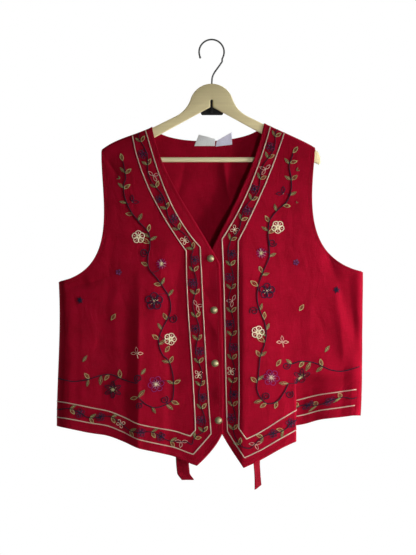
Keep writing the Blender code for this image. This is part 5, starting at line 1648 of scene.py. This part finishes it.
@dataclass
class Hanger:
    """The flat wooden hanger, its bar, its wire hook and the black fitting at its apex."""

    half_thickness: float = 0.006
    ease: float = 0.0024
    dome_radius: float = 0.045
    dome_middle: float = -0.1335
    fillet_radius: float = 0.06
    arm_top: float = -0.1182
    arm_slope: float = 0.5
    underside_top: float = -0.135
    underside_slope: float = 0.545
    arm_tip: Sequence[Place] = ((0.2085, -0.2219), (0.214, -0.225), (0.2185, -0.23), (0.2218, -0.2385),
                      (0.2232, -0.245), (0.2222, -0.2508), (0.2185, -0.2535))
    notch_half_width: float = 0.0025
    notch_top: float = -0.121
    bar_radius: float = 0.005
    bar_height: float = -0.2434
    bar_half_length: float = 0.202
    wire_radius: float = 0.00175
    ball_radius: float = 0.0023
    plate_half_width: float = 0.0228
    plate_middle: float = 0.0009
    plate_low: float = -0.1522
    plate_top: float = -0.111
    plate_corner: float = 0.004
    plate_thickness: float = 0.003
    tongue_half_width: float = 0.0021
    tongue_top: float = -0.123
    fit: float = 0.0003

    def outline(self) -> Array:
        """Half the wood's outline: the dome's arc, the fillet's arc that meets it and the arm's
        straight top, the tip, the underside and the notch, then its mirror image."""
        normal = unit(np.array((self.arm_slope, 1.0)))
        lean = normal[0] / normal[1]
        lift = normal[1] * self.arm_top + self.fillet_radius
        reach = self.dome_radius + self.fillet_radius
        a = 1 + lean ** 2
        drop = lift / normal[1] - self.dome_middle
        b = -2 * drop * lean
        x = (-b + math.sqrt(b * b - 4 * a * (drop * drop - reach * reach))) / (2 * a)
        middle = np.array((x, (lift - normal[0] * x) / normal[1]))
        dome_end = math.atan2(middle[1] - self.dome_middle, middle[0])
        t = np.linspace(math.pi / 2, dome_end, 26)
        dome = circle(t) * self.dome_radius + (0, self.dome_middle)
        t = np.linspace(dome_end + math.pi, math.atan2(-normal[1], -normal[0]) + 2 * math.pi, 26)[1:]
        fillet = middle + self.fillet_radius * circle(t)
        tip = rounded_line(self.arm_tip, 1.2 * MM)
        under = [(x, self.underside_top - self.underside_slope * x)
                 for x in (0.212, 0.006, self.notch_half_width)]
        notch = self.notch_half_width * circle(np.linspace(0, math.pi / 2, 10))
        notch += (0, self.notch_top - self.notch_half_width)
        half = np.vstack((dome, fillet, tip, under, notch))
        return np.vstack((half, half[1:-1][::-1] * (-1, 1)))

    def eased_plate(self, name: str, outline: Array, near: float, far: float, ease: float,
                    finish: Material, node: str, slot: str) -> None:
        """An outline given thickness, each rim rounded by rings inset along a quarter circle."""
        ahead = unit(np.roll(outline, -1, 0) - outline)
        inward = -leftward(ahead + unit(outline - np.roll(outline, 1, 0)))
        inward /= np.maximum(np.linalg.norm(inward, axis=1, keepdims=True) ** 2 / 2, 1.0)
        t = np.linspace(0, math.pi / 2, 6)
        levels = np.r_[near + ease * (1 - np.cos(t)), far - ease * (1 - np.cos(t[::-1]))]
        insets = np.r_[ease * (1 - np.sin(t)), ease * (1 - np.sin(t[::-1]))]
        places = outline[None] + inward[None] * insets[:, None, None]
        rings = joined(places[..., 0], np.broadcast_to(levels[:, None], places.shape[:2]), places[..., 1])
        count, last = len(outline), (len(levels) - 1) * len(outline)
        caps = np.array((np.arange(count)[::-1], last + np.arange(count)))
        obj = make_object(name, rings, [ring_faces(len(levels), count), caps], finish, None, 32.0)
        finish_piece(obj, slot, node)

    def tube(self, name: str, line: Array, radii: Array, sides: int, finish: Material, node: str,
             slot: str) -> None:
        """A round section carried along a line in the hanger's plane."""
        way = unit(np.gradient(line, axis=0))
        side = joined(-way[:, 1], 0 * way[:, 0], way[:, 0])
        centre = joined(line[:, 0], 0 * line[:, 0], line[:, 1])
        rings = rings_along(centre, side, np.broadcast_to((0, 1, 0), side.shape),
                            radii[:, None, None] * circle(around(sides)))
        last = (len(line) - 1) * sides
        caps = np.array((np.arange(sides), last + np.arange(sides)[::-1]))
        obj = make_object(name, rings, [ring_faces(len(line), sides)[:, ::-1], caps], finish, None, 50.0)
        finish_piece(obj, slot, node)

    def hook_line(self) -> tuple[Array, Array]:
        """The wire's centre line, from inside the wood up its stem, round the bend to its ball end."""
        arc = circle(np.radians(np.linspace(-32, 197, 90))) * 0.0255 + (0.0, -0.02375)
        line = np.vstack((rounded_line(HOOK_STEM), arc))
        ball = np.radians(np.linspace(-40, 82, 12))
        run = 1.5 * MM + self.ball_radius * (1 + np.sin(ball))
        radii = np.r_[np.full(len(line), self.wire_radius), self.ball_radius * np.cos(ball)]
        return np.vstack((line, line[-1] + unit(line[-1] - line[-2]) * run[:, None])), radii

    def plate_outline(self) -> Array:
        """A rounded rectangle: a quarter circle at each corner, run clockwise from the top right."""
        inner = (self.plate_half_width - self.plate_corner, self.plate_top - self.plate_corner,
                 self.plate_low + self.plate_corner)
        arcs = []
        for start, side, z in ((90, 1, inner[1]), (0, 1, inner[2]), (-90, -1, inner[2]),
                               (-180, -1, inner[1])):
            middle = (self.plate_middle + side * inner[0], z)
            arcs.append(circle(np.radians(start - np.linspace(0, 90, 9))) * self.plate_corner + middle)
        return np.vstack(arcs)

    def build(self) -> None:
        """Builds the hanger's four pieces and the fitting's tongue."""
        wood, black = WOOD.material(), BLACK.material()
        self.eased_plate("hanger_body", self.outline(), -self.half_thickness, self.half_thickness,
                         self.ease, wood, "hanger_wood", "pale_wood")
        half = self.bar_half_length
        bar = joined(np.linspace(-half, half, 90), np.full(90, self.bar_height))
        self.tube("hanger_rod", bar, np.full(90, self.bar_radius), 28, BAR_WOOD.material(),
                  "hanger_bar", "pale_wood")
        self.tube("wire_hook", *self.hook_line(), 20, STEEL.material(), "hanger_hook", "steel_wire")
        near = self.half_thickness + self.fit
        self.eased_plate("fitting_plate", self.plate_outline(), near, near + self.plate_thickness,
                         0.5 * MM, black, "hanger_plate", "black_plastic")
        foot, top, wide = self.plate_low + 0.006, self.tongue_top, self.tongue_half_width
        tongue = np.array(((wide, foot), (-wide, foot), (-wide, top), (wide, top)))
        self.eased_plate("fitting_tongue", tongue, -0.003, near + self.plate_thickness / 2,
                         0.4 * MM, black, "hanger_plate", "black_plastic")


@dataclass
class Studio:
    """A pale floor, soft lights and a long-lens camera level with the vest's middle."""

    pixel: float = 0.00204
    image: tuple[int, int] = (416, 555)
    middle: tuple[float, float] = (-0.0073, -0.4837)
    distance: float = 7.0
    floor_height: float = -1.13
    floor_size: tuple[float, float] = (1.5, 1.1)
    room_front: float = 0.05
    aim: tuple[float, float, float] = (0.15, 0.0, -0.62)

    def floor(self) -> None:
        """A pale sheet of floor, gently rounded at its edges."""
        u, v = np.meshgrid(np.linspace(-1, 1, 41), np.linspace(-1, 1, 41))
        drop = 0.004 * (np.maximum(np.abs(u), np.abs(v))) ** 24
        grid = joined(u * self.floor_size[0] / 2, v * self.floor_size[1] / 2, self.floor_height - drop)
        finish = HardFinish("pale_floor", (0.74, 0.74, 0.74), (0.8, 0.8, 0.8), 0.9, 0.0, 6.0)
        obj = make_object("floor", grid, [grid_faces(41, 41)], finish.material())

    def light(self, name: str, place: Place,
              size: tuple[float, float], power: float, spread: float = 180.0) -> None:
        """One soft oblong light that faces the studio's aim, with its spread in degrees."""
        data = bpy.data.lights.new(name, "AREA")
        data.shape = "RECTANGLE"
        data.size, data.size_y = size
        data.energy, data.spread = power, math.radians(spread)
        obj = bpy.data.objects.new(name, data)
        bpy.context.collection.objects.link(obj)
        way = np.subtract(self.aim, place)
        obj.location = place
        obj.rotation_euler = (math.atan2(math.hypot(way[0], way[1]), -way[2]), 0,
                              math.atan2(way[1], way[0]) - math.pi / 2)

    def camera(self) -> None:
        """The camera: its lens makes one pixel of the image one pixel's size at the vest."""
        data = bpy.data.cameras.new("camera")
        data.sensor_width = 36.0
        half = self.image[1] * self.pixel / 2
        data.lens = data.sensor_width / 2 * self.distance / half
        data.clip_end = 50.0
        obj = bpy.data.objects.new("camera", data)
        bpy.context.collection.objects.link(obj)
        obj.location = (self.middle[0], -self.distance, self.middle[1])
        obj.rotation_euler = (math.pi / 2, 0, 0)
        bpy.context.scene.camera = obj

    def build(self) -> None:
        """Sets up the world, white behind the vest and dimmer before it, the lights, the floor and
        the camera."""
        world = bpy.data.worlds.new("pale_room")
        world.use_nodes = True
        tree = world.node_tree
        way, apart, fade = (tree.nodes.new(f"ShaderNode{kind}")
                            for kind in ("TexCoord", "SeparateXYZ", "MapRange"))
        fade.interpolation_type = "SMOOTHSTEP"
        for number, value in ((1, -0.5), (2, 0.5), (3, self.room_front), (4, 1.0)):
            fade.inputs[number].default_value = value
        background = tree.nodes["Background"].inputs
        background["Color"].default_value = (1, 1, 1, 1)
        tree.links.new(way.outputs["Generated"], apart.inputs[0])
        tree.links.new(apart.outputs[1], fade.inputs[0])
        tree.links.new(fade.outputs["Result"], background["Strength"])
        bpy.context.scene.world = world
        bpy.context.scene.view_settings.view_transform = "Standard"
        self.light("key", (1.28, -0.39, -0.62), (0.4, 0.9), 2.2, 28.0)
        self.light("front", (1.45, -2.9, -0.6), (0.5, 1.0), 0.95, 20.0)
        self.light("fill", (-0.5, -3.2, -0.2), (1.2, 1.2), 2.0)
        self.floor()
        self.camera()


def main() -> None:
    """Builds the scene in order."""
    logging.basicConfig(level=logging.INFO, format="%(message)s")
    Hanger().build()
    vest = Vest()
    vest.build()
    vest.declare()
    Studio().build()


if __name__ == "__main__":
    main()
